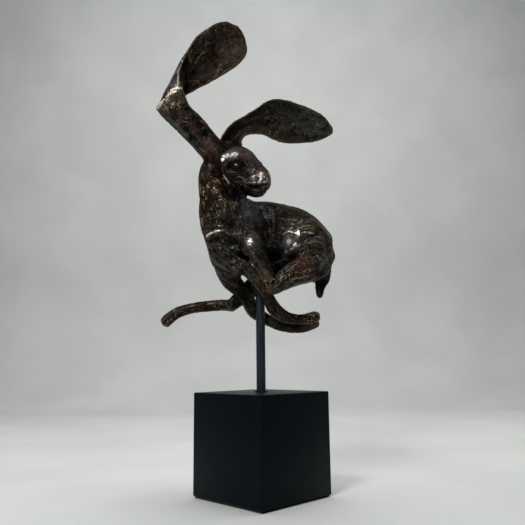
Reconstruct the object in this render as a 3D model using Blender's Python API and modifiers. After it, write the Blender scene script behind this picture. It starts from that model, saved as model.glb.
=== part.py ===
"""Hare sculpture: a cast bronze hare in full leap, held by a steel rod over a square plinth.

Metres, +Z up. The origin is the middle of the plinth's underside. +X runs from the hare's chest to its rump,
and the hare's left flank faces -Y.
"""

import math

import bmesh
import bpy
import numpy as np
from mathutils import Matrix, Vector
from mathutils.bvhtree import BVHTree

# Plinth
PLINTH_SIDE = 0.095
PLINTH_HEIGHT = 0.100
PLINTH_TURN = math.radians(45.0)
PLINTH_FOOT_CHAMFER = 0.0025
PLINTH_EDGE_ROUND = 0.0008

# Rod, with the low collar turned at its foot
ROD_DIAMETER = 0.0092
ROD_DEPTH_IN_PLINTH = 0.030
ROD_DEPTH_IN_HARE = 0.026
COLLAR_DIAMETER = 0.0135
COLLAR_HEIGHT = 0.0012
ROD_END_CHAMFER = 0.0006
SEAT_GAP = 0.0003

# Hare: its forms are in modules, and this many of them make its height
HARE_HEIGHT = 0.331
PAW_CLEARANCE = 0.058
MODULES_TALL = 331.0
MODULES_BELOW_SOCKET = 77.0

# Places that follow from the sizes above
MODULE = HARE_HEIGHT / MODULES_TALL
SOCKET_HEIGHT = PLINTH_HEIGHT + PAW_CLEARANCE + MODULES_BELOW_SOCKET * MODULE
ROD_TOP = SOCKET_HEIGHT + ROD_DEPTH_IN_HARE
ROD_FOOT = PLINTH_HEIGHT - ROD_DEPTH_IN_PLINTH

# How finely the forms are made, in modules where they are sizes
BODY_GRAIN = 1.45
FEATURE_GRAIN = 1.15
BODY_SMOOTHING = 4
FEATURE_SMOOTHING = 2
SOLID_TRIANGLES = 8600
RING_POINTS = 20
STATION_STEPS = 4
SHEET_SAMPLES = 18
ROUND_SIDES = 40
DOME_ANGLES = (24.0, 48.0, 72.0)
DOME_SHARE = 0.8
OVAL_POWER = 0.86
SOFT_EDGE = 1.13

# Thickness of the ear sheets, in modules
STEM_WALL = 5.1
LEAF_WALL = 3.4
FLAP_WALL = 3.0
RIM_THINNING = 0.3

SIDEWAYS = np.array([0.0, 1.0, 0.0])
FACINGS = {"near": (-1.0,), "far": (1.0,), "both": (-1.0, 1.0)}

# Solid forms of the body: x, y, z, half height and half width of each section
NECK_AND_CHEST = (
    (-47, 0, 104, 11, 9), (-47.5, 0, 97, 15, 13), (-47, 0, 82, 17.8, 15), (-39.5, 0, 64, 25.2, 18),
    (-35, 0, 43, 27.8, 21.5), (-31.2, 0, 20, 25.6, 22.5), (-31.6, 0, 0, 20, 19), (-30, 1, -13, 13.4, 13),
)
TRUNK = (
    (-32, 0, 26, 30.4, 21.5), (-18, 0, 27.5, 31.8, 23.5), (2, 0, 26.5, 33.8, 23), (18, 0, 23.2, 34.6, 20.5),
    (34, 0, 19, 34, 20.5), (46, 0, 8.5, 31.4, 21.5), (54.5, 0, -4, 24.5, 20), (57, 0, -14, 15, 14),
)
NEAR_SHOULDER = (
    (-13, -5, 55.6, 7.5, 8), (-9, -10, 42, 16, 13), (-10, -12.5, 26, 19, 14.5), (-22, -13, 13, 16, 13),
    (-37, -12, 8, 9, 10),
)
NEAR_THIGH = (
    (62, -4, 13, 16.5, 15), (52, -9, 16, 21.5, 19), (41, -11, 13, 23, 19), (33, -12, 6, 19, 16.8),
    (27, -13, 2, 14, 13.2),
)
NEAR_CALF = (
    (65, -6, 2, 13, 13), (56, -11, -8, 16, 15.5), (44, -18, -15, 14.4, 13), (31, -23, -22, 11.4, 10.5),
    (21, -26.5, -28.6, 9.2, 8.4), (13, -28, -34.5, 6.8, 6.8),
)
NEAR_HIND_FOOT = (
    (14, -28, -36, 6.2, 6.2), (9, -29, -27, 6.8, 6.4), (3.5, -30, -14.5, 7.4, 6.6), (-1, -30, -5, 8.8, 7),
    (-6, -28, 5, 11, 7.6), (-9, -25, 14, 12.5, 8), (-9, -20, 26, 12, 7),
)
NEAR_FORELEG = (
    (-45, -13, 11, 8, 8), (-38, -15, 7, 9.6, 9), (-26, -16.5, -4.5, 8.8, 8), (-12, -16.5, -15, 7, 6.4),
    (-1, -15, -28, 6, 5.8), (7, -13.5, -40, 5.8, 5.4), (11.5, -12.5, -49, 6.9, 5.7), (15.5, -12, -55, 7, 5.8),
    (24, -11.5, -60.8, 6, 5.3), (34, -11, -63.8, 5.1, 5), (44, -11, -63.8, 5, 5.2),
    (53, -11, -62, 5.6, 5.6), (56.5, -11, -61.5, 5, 5),
)
FAR_FORELEG = (
    (-36, 6, -5, 12.6, 10), (-31, 9, -20, 10.6, 8.5), (-21, 11, -31, 8.4, 7), (-12.5, 12, -43, 7.6, 6),
    (-6.5, 12.5, -52.5, 8.2, 6), (1, 13, -59, 6.6, 5.6), (9, 13, -63.4, 6, 5.4), (20, 13.5, -68.2, 5.9, 5.3),
    (33, 13.5, -71, 5.5, 5.2), (44, 13.5, -71.2, 5, 5.2), (54, 13.5, -68, 5, 5), (58, 13.5, -66.5, 4.4, 4.6),
)
FAR_THIGH = (
    (60, 10, 24, 15, 12), (46, 16, 18, 19, 13), (28, 20, 4, 17, 12), (12, 21, -9, 13, 10),
    (-2, 20.5, -22, 10.5, 8.5), (-12, 20, -31, 9.8, 7.5), (-22, 20, -39, 8, 6.5), (-30, 20, -46, 6.4, 6),
)
FAR_HIND_FOOT = (
    (-29, 20, -47.5, 5.8, 5.6), (-37, 21, -46, 6, 5.6), (-54, 22, -46.6, 5.9, 5.5), (-74, 23, -49, 5.6, 5.4),
    (-87, 24, -52.8, 6, 5.5), (-96, 25, -58.4, 6.3, 5.8), (-100.5, 25, -63, 6, 5.8),
)
TAIL = (
    (66, 2, 6, 8, 6), (66.5, 3, -8, 8, 6), (64.5, 4, -20, 7.5, 5.5), (62, 5, -30, 5.4, 4),
    (61.2, 5, -39.5, 3.2, 2.8),
)
TAIL_SHOULDER = ((69, 2, -4, 5, 5), (69, 3, -16, 4.4, 4.4), (67.6, 3, -25, 3.4, 3.4))
HEAD = (
    (-38, -1, 104.5, 12, 11.6), (-31, -3, 101, 19.4, 15.6), (-22, -5, 97, 22.2, 16.8),
    (-13, -7, 89.2, 19.3, 15.4), (-6, -9, 83, 18.8, 12.8), (-1, -10.5, 81, 18.8, 12),
    (1.8, -12.2, 80.8, 17, 11.4), (4.4, -13.6, 81.1, 12.8, 9.6),
)
NOSE_BRIDGE = (
    (-13.5, -8, 105.5, 6, 10), (-7, -9, 98.6, 6, 10.5), (-2, -10, 93.8, 6, 10.4), (3.5, -11.5, 88.8, 5.6, 9),
    (6.5, -12, 86.2, 5, 7.6),
)
NEAR_EAR_ROOT = ((-46, -3, 96, 10, 8), (-49, -6, 105, 9, 6.5), (-53, -9, 113, 6, 4.5))
NEAR_EAR_CREST = (
    (-102.5, -29, 154.5, 2.8, 3.2), (-96.5, -31, 159, 3.2, 3.8), (-89.5, -32.5, 164, 3.4, 4),
    (-83.5, -33.5, 170.5, 3.4, 4), (-79, -33.5, 176.5, 3, 3.6), (-80.6, -32, 185, 2, 2.6),
)
FAR_EAR_ROOT = ((-31, 0, 104, 11, 9), (-31, 3, 113, 10.5, 8), (-32, 8, 122, 9, 6.5), (-33, 12, 130, 6, 4))
LIMBS = (
    NECK_AND_CHEST, TRUNK, NEAR_SHOULDER, NEAR_THIGH, NEAR_CALF, NEAR_HIND_FOOT, NEAR_FORELEG, FAR_FORELEG,
    FAR_THIGH, FAR_HIND_FOOT, TAIL, TAIL_SHOULDER, HEAD, NOSE_BRIDGE, NEAR_EAR_ROOT, NEAR_EAR_CREST,
    FAR_EAR_ROOT,
)

# Sheets of the ears: left edge x, y, z, right edge x, y, z, and how far the middle is pushed back
NEAR_EAR_STEM = (
    (-53.5, -1, 95, -33, -1, 106, -8), (-56, -6, 103.5, -35, -6, 117, -11),
    (-64, -12, 113, -45.5, -12, 128, -12), (-73.5, -17, 122.5, -54.5, -17, 138.5, -12),
    (-84, -21, 132.5, -63, -21, 147.5, -12), (-95.5, -25, 143, -72, -25, 155, -12),
    (-104.5, -28, 153.5, -77.5, -28, 170, -11),
)
NEAR_EAR_LEAF = (
    (-103, -27, 154, -76, -24, 171, 6), (-95, -27, 176, -63.6, -22, 178.6, 9),
    (-86.6, -26, 195.4, -47, -21, 187.6, 9), (-77.5, -25, 215, -31.6, -20, 197.6, 8),
    (-65.6, -24, 235.4, -18, -20, 208, 7), (-54, -24, 245, -11.2, -20, 220, 6),
    (-46, -23, 251, -12, -20, 232, 4), (-39, -22, 254.5, -15.4, -21, 242, 2),
    (-32, -21, 255, -20.5, -21, 249.5, 1),
)
NEAR_EAR_FLAP = (
    (-103.5, -29, 155, -76, -36, 171, -2), (-97, -28, 171, -80, -37, 183, -2),
    (-90.4, -27, 185, -79.2, -33, 195, -1), (-84.4, -26, 200, -77.4, -29, 204, 0),
    (-79, -25, 212, -74.5, -26, 215, 0),
)
FAR_EAR = (
    (-40, 1, 114, -17, 1, 112, 5), (-41.4, 3, 122, -17, 3, 119, 8), (-42, 6, 131, -18.6, 6, 128, 10),
    (-38, 9, 141, -18.6, 9, 133.6, 10), (-29.8, 12, 152.8, -15, 12, 139.6, 9),
    (-17, 15, 162.5, -7, 15, 142.4, 8), (-3.4, 18, 172.6, 5, 18, 142.4, 7),
    (12.6, 20, 184, 18, 20, 136.4, 7), (30, 20, 184, 32, 20, 133, 7), (46.4, 20, 178.2, 47, 20, 133, 6),
    (63.4, 20, 170.8, 61, 20, 134.2, 5), (74, 20, 162.8, 72, 20, 137.8, 3), (80, 20, 154, 79.6, 20, 142, 2),
    (82.6, 20, 149, 82.6, 20, 145, 1),
)
SHEETS = (
    (NEAR_EAR_STEM, STEM_WALL, 0.5), (NEAR_EAR_LEAF, LEAF_WALL, 0.9), (NEAR_EAR_FLAP, FLAP_WALL, 1.0),
    (FAR_EAR, LEAF_WALL, 0.8),
)

# Carved strokes: name, side, half width, depth (negative cuts in), and the points x, z along the skin
STROKES = (
    ("groove between thigh and calf", "near", 3.2, -3.6,
     ((58.5, 20), (50, 17), (42.5, 11.5), (38.5, 1.5), (31, -4), (23.5, -8.5), (17, -15))),
    ("edge of the thigh at the flank", "near", 4.2, -2.8,
     ((22, 31), (19, 22), (15.5, 9), (14, -4), (15, -16))),
    ("hollow before the knee", "near", 6, -3.4, ((16.5, -4), (17, -12))),
    ("back edge of the shoulder", "near", 2.8, -2.6,
     ((2, 46), (7.5, 34), (10, 22.5), (8.5, 11), (10.5, -0.5), (10, -12))),
    ("upper fold of the thigh", "near", 2.4, 1.2, ((28, 24.5), (35.5, 27), (44.5, 26.5), (55.5, 22.5))),
    ("crease under that fold", "near", 2, -1.4, ((55.5, 18.5), (49, 20), (43, 19.5))),
    ("lower fold of the thigh", "near", 4.5, 1.8, ((42, 16), (37, 9), (32, 2), (26, -3))),
    ("calf muscle", "near", 6, 1.6, ((59.5, -7), (47, -8), (34.5, -13.5), (23.5, -21))),
    ("calf tendon", "near", 2, 1.2, ((54.5, 0.5), (45, -2), (33.5, -9.5), (21, -19))),
    ("crease behind the calf", "near", 2.8, -1.8, ((54.5, -1.5), (59, -9), (57.5, -19))),
    ("rump crease", "near", 2.4, -1.2, ((66, 18), (69, 9), (68, -2.5))),
    ("edge of the foot", "near", 2.2, -2, ((10.5, -2), (9.5, -13), (14, -23))),
    ("between foot and foreleg", "near", 1.9, -2.6,
     ((-19, 1), (-9.5, -6), (-2.7, -13), (2, -22), (8, -32))),
    ("foreleg tendon", "near", 1.5, 1.6,
     ((-31, 4.5), (-22.5, -3), (-12.5, -9.2), (-6.6, -15.7), (-0.8, -23.7), (3.5, -33), (11, -39))),
    ("head of the shoulder", "near", 4.4, 1.6, ((-9.5, 14), (-9.5, 8.5), (-7.5, 4.5))),
    ("chest fold", "near", 2.6, 2.4, ((-52, 20.5), (-44.5, 23), (-35.5, 25))),
    ("crease under the chest fold", "near", 2.2, -2.2, ((-51.5, 16.5), (-41.5, 17), (-34.5, 21))),
    ("shoulder point", "near", 5, 2, ((-32, 22), (-23.5, 20), (-20.5, 14.5))),
    ("hollow of the shoulder point", "near", 3.2, -3, ((-29, 12), (-19.5, 8.5))),
    ("upper skin fold of the chest", "near", 2.2, 1.8, ((-51, 6.5), (-45, -4), (-36.5, -11), (-22.5, -15.5))),
    ("skin crease of the chest", "near", 2.2, -2.0, ((-46.5, 5.5), (-35, -7), (-22.5, -13.5), (-12.5, -21))),
    ("lower skin fold of the chest", "near", 2.2, 1.5, ((-44, -11.5), (-36.5, -16.5), (-27.5, -19.5))),
    ("throat hollow", "near", 5.6, -4.6, ((-28, 70.5), (-22.5, 66))),
    ("withers", "near", 5.5, 2.6, ((-11, 53), (-13.5, 47), (-11, 39.5))),
    ("crease before the withers", "near", 2.6, -2, ((-19, 54.5), (-19.5, 45), (-17.5, 30.5))),
    ("first rib fold", "near", 2.4, 1.4, ((13.5, 47.5), (15, 33.5), (14, 20.5))),
    ("second rib fold", "near", 2.2, -1.2, ((10, 46.5), (11, 33.5), (11, 20.5))),
    ("loin muscle", "near", 5.5, 1.2, ((29, 46.5), (43, 41), (54.5, 32))),
    ("heel tendon", "near", 2, 1.2, ((15.5, -36.5), (24.5, -35), (37, -29.5), (50.5, -26))),
    ("forearm crease", "near", 1.8, -1.5, ((3, -28.5), (6.5, -38.5), (10.5, -47.5), (17, -55))),
    ("wrist knuckle", "near", 3.2, 1.4, ((9.5, -48), (11.5, -51.5))),
    ("toe gap of the near paw", "near", 1.3, -1.8, ((47, -63.5), (60, -61.5))),
    ("toe gap of the far paw", "far", 1.3, -1.8, ((48, -70), (60, -67))),
    ("toe gap of the far foot", "both", 1.4, -1.8, ((-92, -56), (-103, -65))),
    ("far shoulder", "far", 8, 2.4, ((-14, 44), (-18, 28), (-28, 12))),
    ("back edge of the far shoulder", "far", 3.6, -2.4, ((2, 46), (6, 28), (0, 8))),
    ("flank before the far thigh", "far", 4.4, -2.4, ((24, 38), (18, 24), (10, 10))),
    ("groove over the far calf", "far", 3.4, -2.4, ((62, 12), (44, 4), (26, -6), (10, -18))),
    ("far loin muscle", "far", 5.5, 1.2, ((29, 46.5), (43, 41), (54.5, 32))),
    ("fold in the far ear", "near", 4, -1, ((-20, 150), (0, 157), (30, 160), (60, 154))),
    ("jowl", "both", 3, 2.2, ((-36, 98), (-36.5, 89.5), (-34.5, 81.5), (-30.5, 76.5))),
    ("crease behind the jowl", "both", 2.8, -2.6, ((-40, 99), (-41, 88.5), (-37.5, 78), (-31.5, 70.5))),
    ("brow", "both", 6.2, 3.6, ((-38, 101), (-33.5, 104), (-27, 105.2), (-21, 104.4))),
    ("eye socket", "both", 5.2, -4.2, ((-31, 93.4), (-23, 93.2), (-15.5, 92.4))),
    ("corner of the eye", "both", 4.2, -1.2, ((-10.5, 89), (-9, 84))),
    ("cheek", "both", 6, 1.6, ((-24, 78), (-18.5, 76.5))),
    ("upper lip", "both", 2.4, 1.2, ((-14, 75.8), (-8, 73.8), (-2, 73.4), (4, 74.6))),
    ("mouth", "both", 1.6, -2.2, ((-15, 73.2), (-10.7, 71.3), (-4.9, 70.2), (0.8, 70.8), (7, 72.4))),
    ("lower jaw", "both", 3.6, -1.2, ((-10, 66.5), (-2, 65.4), (4, 66.4))),
    ("nostril", "both", 1.5, -1.8, ((8.5, 79), (10, 81))),
    ("whisker pad", "both", 7.5, 0.9, ((0, 80), (4, 80))),
    ("throat fold", "near", 2.2, 1.8, ((-27.5, 69.5), (-23, 64.5), (-16, 63.5))),
)

# Small forms laid on the skin: name, side, how deep they sit in it, then x, z, half height and half width
LAID_ON = (
    ("eyeball", "both", 1.9, ((-24.6, 94, 4.2, 4.4), (-21, 93.8, 4.2, 4.4))),
    ("upper lid", "both", -0.1,
     ((-35, 93.4, 1.1, 1.3), (-29.5, 98, 1.5, 1.6), (-22.4, 99.6, 1.6, 1.7), (-16, 97.6, 1.5, 1.6),
      (-12, 93, 1.1, 1.3))),
    ("lower lid", "both", 0.2,
     ((-34.4, 92.6, 1, 1.2), (-29, 90, 1.2, 1.4), (-22.6, 88.7, 1.3, 1.4), (-16.4, 89.8, 1.2, 1.4),
      (-12, 92.6, 1, 1.2))),
    ("fold under the eye", "both", 0.9,
     ((-32.6, 87.6, 1, 1.2), (-27, 84.6, 1.3, 1.5), (-20, 83.4, 1.3, 1.5), (-14.5, 85.4, 1.2, 1.4),
      (-10.5, 89, 0.9, 1.1))),
)


def eased(rows, steps):
    """Rows of numbers on a smooth Catmull-Rom curve through the given ones."""
    given = np.array(rows, float)
    padded = np.vstack([2 * given[0] - given[1], given, 2 * given[-1] - given[-2]])
    result = []
    for index in range(len(given) - 1):
        a, b, c, d = padded[index:index + 4]
        for step in range(steps):
            t = step / steps
            result.append(0.5 * (2 * b + (c - a) * t + (2 * a - 5 * b + 4 * c - d) * t ** 2
                                 + (3 * b - a - 3 * c + d) * t ** 3))
    result.append(given[-1])
    return np.array(result)


def unit(vectors):
    """Vectors scaled to length one."""
    return vectors / np.maximum(np.linalg.norm(vectors, axis=-1, keepdims=True), 1e-9)


def placed(points):
    """Points of the figure, in modules from the socket's mouth, as metres."""
    return np.asarray(points, float) * MODULE + np.array([0.0, 0.0, SOCKET_HEIGHT])


def add_rings(figure, rings):
    """Adds a closed tube to the figure, from rings that have equally many points."""
    rows = [[figure.verts.new(point) for point in placed(ring)] for ring in rings]
    count = len(rows[0])
    for lower, upper in zip(rows, rows[1:]):
        for index in range(count):
            after = (index + 1) % count
            figure.faces.new((lower[index], lower[after], upper[after], upper[index]))
    return rows


def add_limb(figure, stations):
    """A solid form lofted through oval sections, with domed ends."""
    rows = eased(stations, STATION_STEPS)
    centres = rows[:, :3]
    along = unit(np.gradient(centres, axis=0))
    side = unit(SIDEWAYS - along * (along @ SIDEWAYS)[:, None])
    up = np.cross(side, along)
    angles = np.linspace(0.0, 2.0 * math.pi, RING_POINTS, endpoint=False)

    def fuller(wave):
        return np.sign(wave) * np.abs(wave) ** OVAL_POWER

    def ring(index, scale, shift):
        tall, wide = rows[index, 3] * scale, rows[index, 4] * scale
        middle = centres[index] + along[index] * shift
        return (middle + np.outer(fuller(np.cos(angles)) * wide, side[index])
                + np.outer(fuller(np.sin(angles)) * tall, up[index]))

    domes = [math.radians(angle) for angle in DOME_ANGLES]
    reach = [min(rows[end, 3], rows[end, 4]) * DOME_SHARE for end in (0, -1)]
    rings = [ring(0, math.cos(angle), -reach[0] * math.sin(angle)) for angle in reversed(domes)]
    rings += [ring(index, 1.0, 0.0) for index in range(len(rows))]
    rings += [ring(-1, math.cos(angle), reach[1] * math.sin(angle)) for angle in domes]
    made = add_rings(figure, rings)
    for row, end, sign in ((made[0], 0, -1.0), (made[-1], -1, 1.0)):
        tip = figure.verts.new(placed(centres[end] + along[end] * reach[end] * sign))
        for index in range(RING_POINTS):
            pair = (row[index], row[(index + 1) % RING_POINTS])
            figure.faces.new((*pair[::int(sign)], tip))


def add_sheet(figure, stations, thickness, roundness):
    """A curved sheet between two edges, pushed back in the middle; roundness 0.5 makes half a round tube."""
    rows = eased(stations, STATION_STEPS)
    across = np.linspace(0.0, math.pi, SHEET_SAMPLES)
    rings = []
    for row in rows:
        left, right = row[:3], row[3:6]
        swing = -np.cos(across)
        depth = np.maximum(1.0 - swing ** 2, 0.0) ** roundness * row[6]
        points = (left + right) / 2 + np.outer(swing, (right - left) / 2) + np.outer(depth, SIDEWAYS)
        tangent = unit(np.gradient(points, axis=0))
        straight = unit(right - left)
        outward = unit(SIDEWAYS - straight * (straight @ SIDEWAYS))
        flow = np.cross(straight, outward)
        normal = unit(np.cross(flow, tangent))
        wall = thickness / 2 * (1.0 - RIM_THINNING * swing ** 4)
        rings.append(np.vstack([points + normal * wall[:, None], (points - normal * wall[:, None])[::-1]]))
    made = add_rings(figure, rings)
    for row, turn in ((made[0], -1), (made[-1], 1)):
        for index in range(SHEET_SAMPLES - 1):
            corners = (row[index], row[index + 1], row[-2 - index], row[-1 - index])
            figure.faces.new(corners[::turn])


def skin_of(mesh):
    """A searchable copy of the mesh's surface."""
    return BVHTree.FromPolygons([tuple(vertex.co) for vertex in mesh.vertices],
                                [tuple(face.vertices) for face in mesh.polygons])


def on_skin(skin, x, z, facing):
    """Where the skin is met at x, z of the figure when looked at from that side, in metres."""
    start = placed((x, MODULES_TALL * facing, z))
    hit = skin.ray_cast(Vector(start), Vector(SIDEWAYS * -facing))[0]
    if hit is None:
        hit = skin.find_nearest(Vector(placed((x, 0.0, z))))[0]
    return np.array(hit)


def distance_to_path(points, path):
    """How far each point lies from a path of straight stretches."""
    nearest = np.full(len(points), np.inf)
    for start, end in zip(path, path[1:]):
        reach = end - start
        share = np.clip(((points - start) @ reach) / max(reach @ reach, 1e-12), 0.0, 1.0)
        nearest = np.minimum(nearest, np.linalg.norm(points - start - share[:, None] * reach, axis=1))
    return nearest


def carve(mesh, skin):
    """Cuts grooves and raises folds: each stroke moves the surface along its normals."""
    count = len(mesh.vertices)
    points = np.empty(count * 3)
    normals = np.empty(count * 3)
    mesh.vertices.foreach_get("co", points)
    mesh.vertex_normals.foreach_get("vector", normals)
    points, normals = points.reshape(-1, 3), normals.reshape(-1, 3)
    offset = np.zeros(count)
    for label, side, half_width, depth, route in STROKES:
        for facing in FACINGS[side]:
            path = np.array([on_skin(skin, x, z, facing) for x, z in eased(route, STATION_STEPS)])
            away = distance_to_path(points, path) / (half_width * MODULE * SOFT_EDGE)
            offset += depth * MODULE * np.exp(-away ** 2)
    mesh.vertices.foreach_set("co", (points + normals * offset[:, None]).ravel())
    mesh.update()


def add_laid_on(figure, skin):
    """Adds the small forms where the skin is met from their side."""
    for label, side, depth, route in LAID_ON:
        for facing in FACINGS[side]:
            stations = []
            for x, z, tall, wide in route:
                y = on_skin(skin, x, z, facing)[1] / MODULE
                stations.append((x, y - depth * facing, z, tall, wide))
            add_limb(figure, stations)


def material(name, colour, roughness, metallic):
    """A plain surface of the part's own colour."""
    made = bpy.data.materials.new(name)
    made.use_nodes = True
    shader = made.node_tree.nodes["Principled BSDF"]
    shader.inputs["Base Color"].default_value = (*colour, 1.0)
    shader.inputs["Roughness"].default_value = roughness
    shader.inputs["Metallic"].default_value = metallic
    made.diffuse_color = (*colour, 1.0)
    return made


def collection(name):
    made = bpy.data.collections.new(name)
    bpy.context.scene.collection.children.link(made)
    return made


def filled(mesh, figure):
    """Writes the figure into the mesh, with its faces turned outward."""
    bmesh.ops.recalc_face_normals(figure, faces=figure.faces)
    figure.to_mesh(mesh)
    figure.free()


def frozen(item):
    """The object's mesh as its modifiers leave it; the modifiers are then removed."""
    shape = item.evaluated_get(bpy.context.evaluated_depsgraph_get())
    mesh = bpy.data.meshes.new_from_object(shape)
    item.modifiers.clear()
    item.data = mesh
    return mesh


def fused(item, grain, passes):
    """Joins the overlapping forms of the object into one smooth skin."""
    skin = item.modifiers.new("one skin", "REMESH")
    skin.mode = "VOXEL"
    skin.voxel_size = grain * MODULE
    blend = item.modifiers.new("blend", "SMOOTH")
    blend.factor = 0.5
    blend.iterations = passes
    return frozen(item)


def drill(name, diameter, bottom, top, home):
    """A round cutter on the rod's axis."""
    mesh = bpy.data.meshes.new(name)
    shape = bmesh.new()
    bmesh.ops.create_cone(shape, cap_ends=True, segments=ROUND_SIDES, radius1=diameter / 2,
                          radius2=diameter / 2, depth=top - bottom,
                          matrix=Matrix.Translation((0.0, 0.0, (top + bottom) / 2)))
    shape.to_mesh(mesh)
    shape.free()
    cutter = bpy.data.objects.new(name, mesh)
    cutter.hide_render = True
    cutter.display_type = "WIRE"
    home.objects.link(cutter)
    return cutter


def cut(item, cutter):
    step = item.modifiers.new(cutter.name, "BOOLEAN")
    step.operation = "DIFFERENCE"
    step.solver = "EXACT"
    step.object = cutter


def make_hare(parts, cutters):
    """The casting: body forms fused and carved, the small forms fused on, and the rod's socket drilled."""
    hare = bpy.data.objects.new("hare", bpy.data.meshes.new("hare"))
    parts.objects.link(hare)
    figure = bmesh.new()
    for stations in LIMBS:
        add_limb(figure, stations)
    for stations, wall, roundness in SHEETS:
        add_sheet(figure, stations, wall, roundness)
    filled(hare.data, figure)
    mesh = fused(hare, BODY_GRAIN, BODY_SMOOTHING)
    carve(mesh, skin_of(mesh))
    figure = bmesh.new()
    figure.from_mesh(mesh)
    add_laid_on(figure, skin_of(mesh))
    filled(mesh, figure)
    mesh = fused(hare, FEATURE_GRAIN, FEATURE_SMOOTHING)
    fewer = hare.modifiers.new("facets", "DECIMATE")
    fewer.ratio = SOLID_TRIANGLES / sum(len(face.vertices) - 2 for face in mesh.polygons)
    frozen(hare)
    below = SOCKET_HEIGHT - MODULES_BELOW_SOCKET * MODULE
    cut(hare, drill("rod socket in hare", ROD_DIAMETER + 2 * SEAT_GAP, below, ROD_TOP + SEAT_GAP, cutters))
    hare.data.materials.append(material("patinated bronze", (0.035, 0.024, 0.017), 0.38, 0.9))
    hare.data.shade_smooth()


def make_rod(parts):
    """A turned profile spun round the rod's axis."""
    radius, edge, rim = ROD_DIAMETER / 2, ROD_END_CHAMFER, COLLAR_DIAMETER / 2
    seat = PLINTH_HEIGHT + SEAT_GAP
    shoulder = seat + COLLAR_HEIGHT
    profile = ((0.0, ROD_TOP), (radius - edge, ROD_TOP), (radius, ROD_TOP - edge), (radius, shoulder),
               (rim - edge / 2, shoulder), (rim, shoulder - edge / 2), (rim, seat),
               (radius, seat), (radius, ROD_FOOT + edge), (radius - edge, ROD_FOOT), (0.0, ROD_FOOT))
    mesh = bpy.data.meshes.new("rod")
    mesh.from_pydata([(x, 0.0, z) for x, z in profile], [(i, i + 1) for i in range(len(profile) - 1)], [])
    rod = bpy.data.objects.new("rod", mesh)
    parts.objects.link(rod)
    spin = rod.modifiers.new("turned", "SCREW")
    spin.steps = spin.render_steps = ROUND_SIDES
    spin.use_merge_vertices = True
    spin.merge_threshold = 0.00001
    frozen(rod)
    rod.data.materials.append(material("blackened steel", (0.02, 0.022, 0.026), 0.35, 0.6))
    rod.data.shade_smooth()
    rod.data.set_sharp_from_angle(angle=math.radians(35.0))


def make_plinth(parts, cutters):
    """A square block, its foot chamfered and its other edges barely rounded, with a socket for the rod."""
    bpy.ops.mesh.primitive_cube_add(size=1.0)
    plinth = bpy.context.object
    plinth.name = plinth.data.name = "plinth"
    for holder in plinth.users_collection:
        holder.objects.unlink(plinth)
    parts.objects.link(plinth)
    plinth.data.transform(Matrix.Translation((0.0, 0.0, PLINTH_HEIGHT / 2))
                          @ Matrix.Rotation(PLINTH_TURN, 4, "Z")
                          @ Matrix.Diagonal((PLINTH_SIDE, PLINTH_SIDE, PLINTH_HEIGHT, 1.0)))
    weight = plinth.data.attributes.new("bevel_weight_edge", "FLOAT", "EDGE")
    for edge in plinth.data.edges:
        foot = all(plinth.data.vertices[corner].co.z < PLINTH_HEIGHT / 2 for corner in edge.vertices)
        weight.data[edge.index].value = 1.0 if foot else PLINTH_EDGE_ROUND / PLINTH_FOOT_CHAMFER
    round_over = plinth.modifiers.new("edges", "BEVEL")
    round_over.limit_method = "WEIGHT"
    round_over.width = PLINTH_FOOT_CHAMFER
    round_over.segments = 2
    cut(plinth, drill("rod socket in plinth", ROD_DIAMETER + 2 * SEAT_GAP, ROD_FOOT - SEAT_GAP,
                      PLINTH_HEIGHT + COLLAR_HEIGHT, cutters))
    plinth.data.materials.append(material("black satin paint", (0.008, 0.010, 0.012), 0.42, 0.0))


def main():
    for item in list(bpy.data.objects):
        bpy.data.objects.remove(item, do_unlink=True)
    parts = collection("hare sculpture")
    cutters = collection("cutters")
    make_hare(parts, cutters)
    make_rod(parts)
    make_plinth(parts, cutters)


main()
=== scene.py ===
"""Dresses the hare sculpture: the patinated bronze casting, its steel rod, its lacquered block and a studio.

Metres, +Z up, in the frame of the CAD model. The hare's left flank faces -Y, towards the camera.
"""

import math
from functools import partial

import bmesh
import bpy
import numpy as np
from bpy.props import FloatProperty, FloatVectorProperty, IntProperty, PointerProperty
from mathutils import Matrix, Vector
from mathutils.bvhtree import BVHTree


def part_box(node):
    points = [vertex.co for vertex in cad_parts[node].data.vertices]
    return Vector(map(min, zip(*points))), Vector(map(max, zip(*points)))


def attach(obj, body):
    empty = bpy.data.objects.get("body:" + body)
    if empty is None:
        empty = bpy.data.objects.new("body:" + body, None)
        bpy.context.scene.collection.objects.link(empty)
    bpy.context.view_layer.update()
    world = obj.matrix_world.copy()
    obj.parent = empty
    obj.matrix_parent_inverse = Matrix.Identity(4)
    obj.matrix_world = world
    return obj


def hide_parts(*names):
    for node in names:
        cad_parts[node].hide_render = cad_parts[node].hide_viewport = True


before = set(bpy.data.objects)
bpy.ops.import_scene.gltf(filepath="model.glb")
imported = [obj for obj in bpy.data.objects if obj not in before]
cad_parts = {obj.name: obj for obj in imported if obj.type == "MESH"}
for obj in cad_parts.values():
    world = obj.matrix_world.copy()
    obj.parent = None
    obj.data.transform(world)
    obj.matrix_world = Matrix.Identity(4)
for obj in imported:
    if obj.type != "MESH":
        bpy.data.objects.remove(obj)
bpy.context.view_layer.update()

bl_info = {
    "name": "Hare sculpture",
    "version": (1, 0, 0),
    "blender": (4, 5, 0),
    "location": "3D View > Sidebar > Hare",
    "description": "Builds a bronze hare in full leap on a steel rod and a lacquered block",
    "category": "Object",
}

# Sizes read from the frame, in metres
ROD_LOW, ROD_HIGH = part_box("rod")
PLINTH_LOW, PLINTH_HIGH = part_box("plinth")
ROD_DEPTH_IN_HARE = 0.026
COLLAR_RADIUS = (ROD_HIGH[0] - ROD_LOW[0]) / 2
SOCKET_HEIGHT = ROD_HIGH[2] - ROD_DEPTH_IN_HARE

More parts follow.
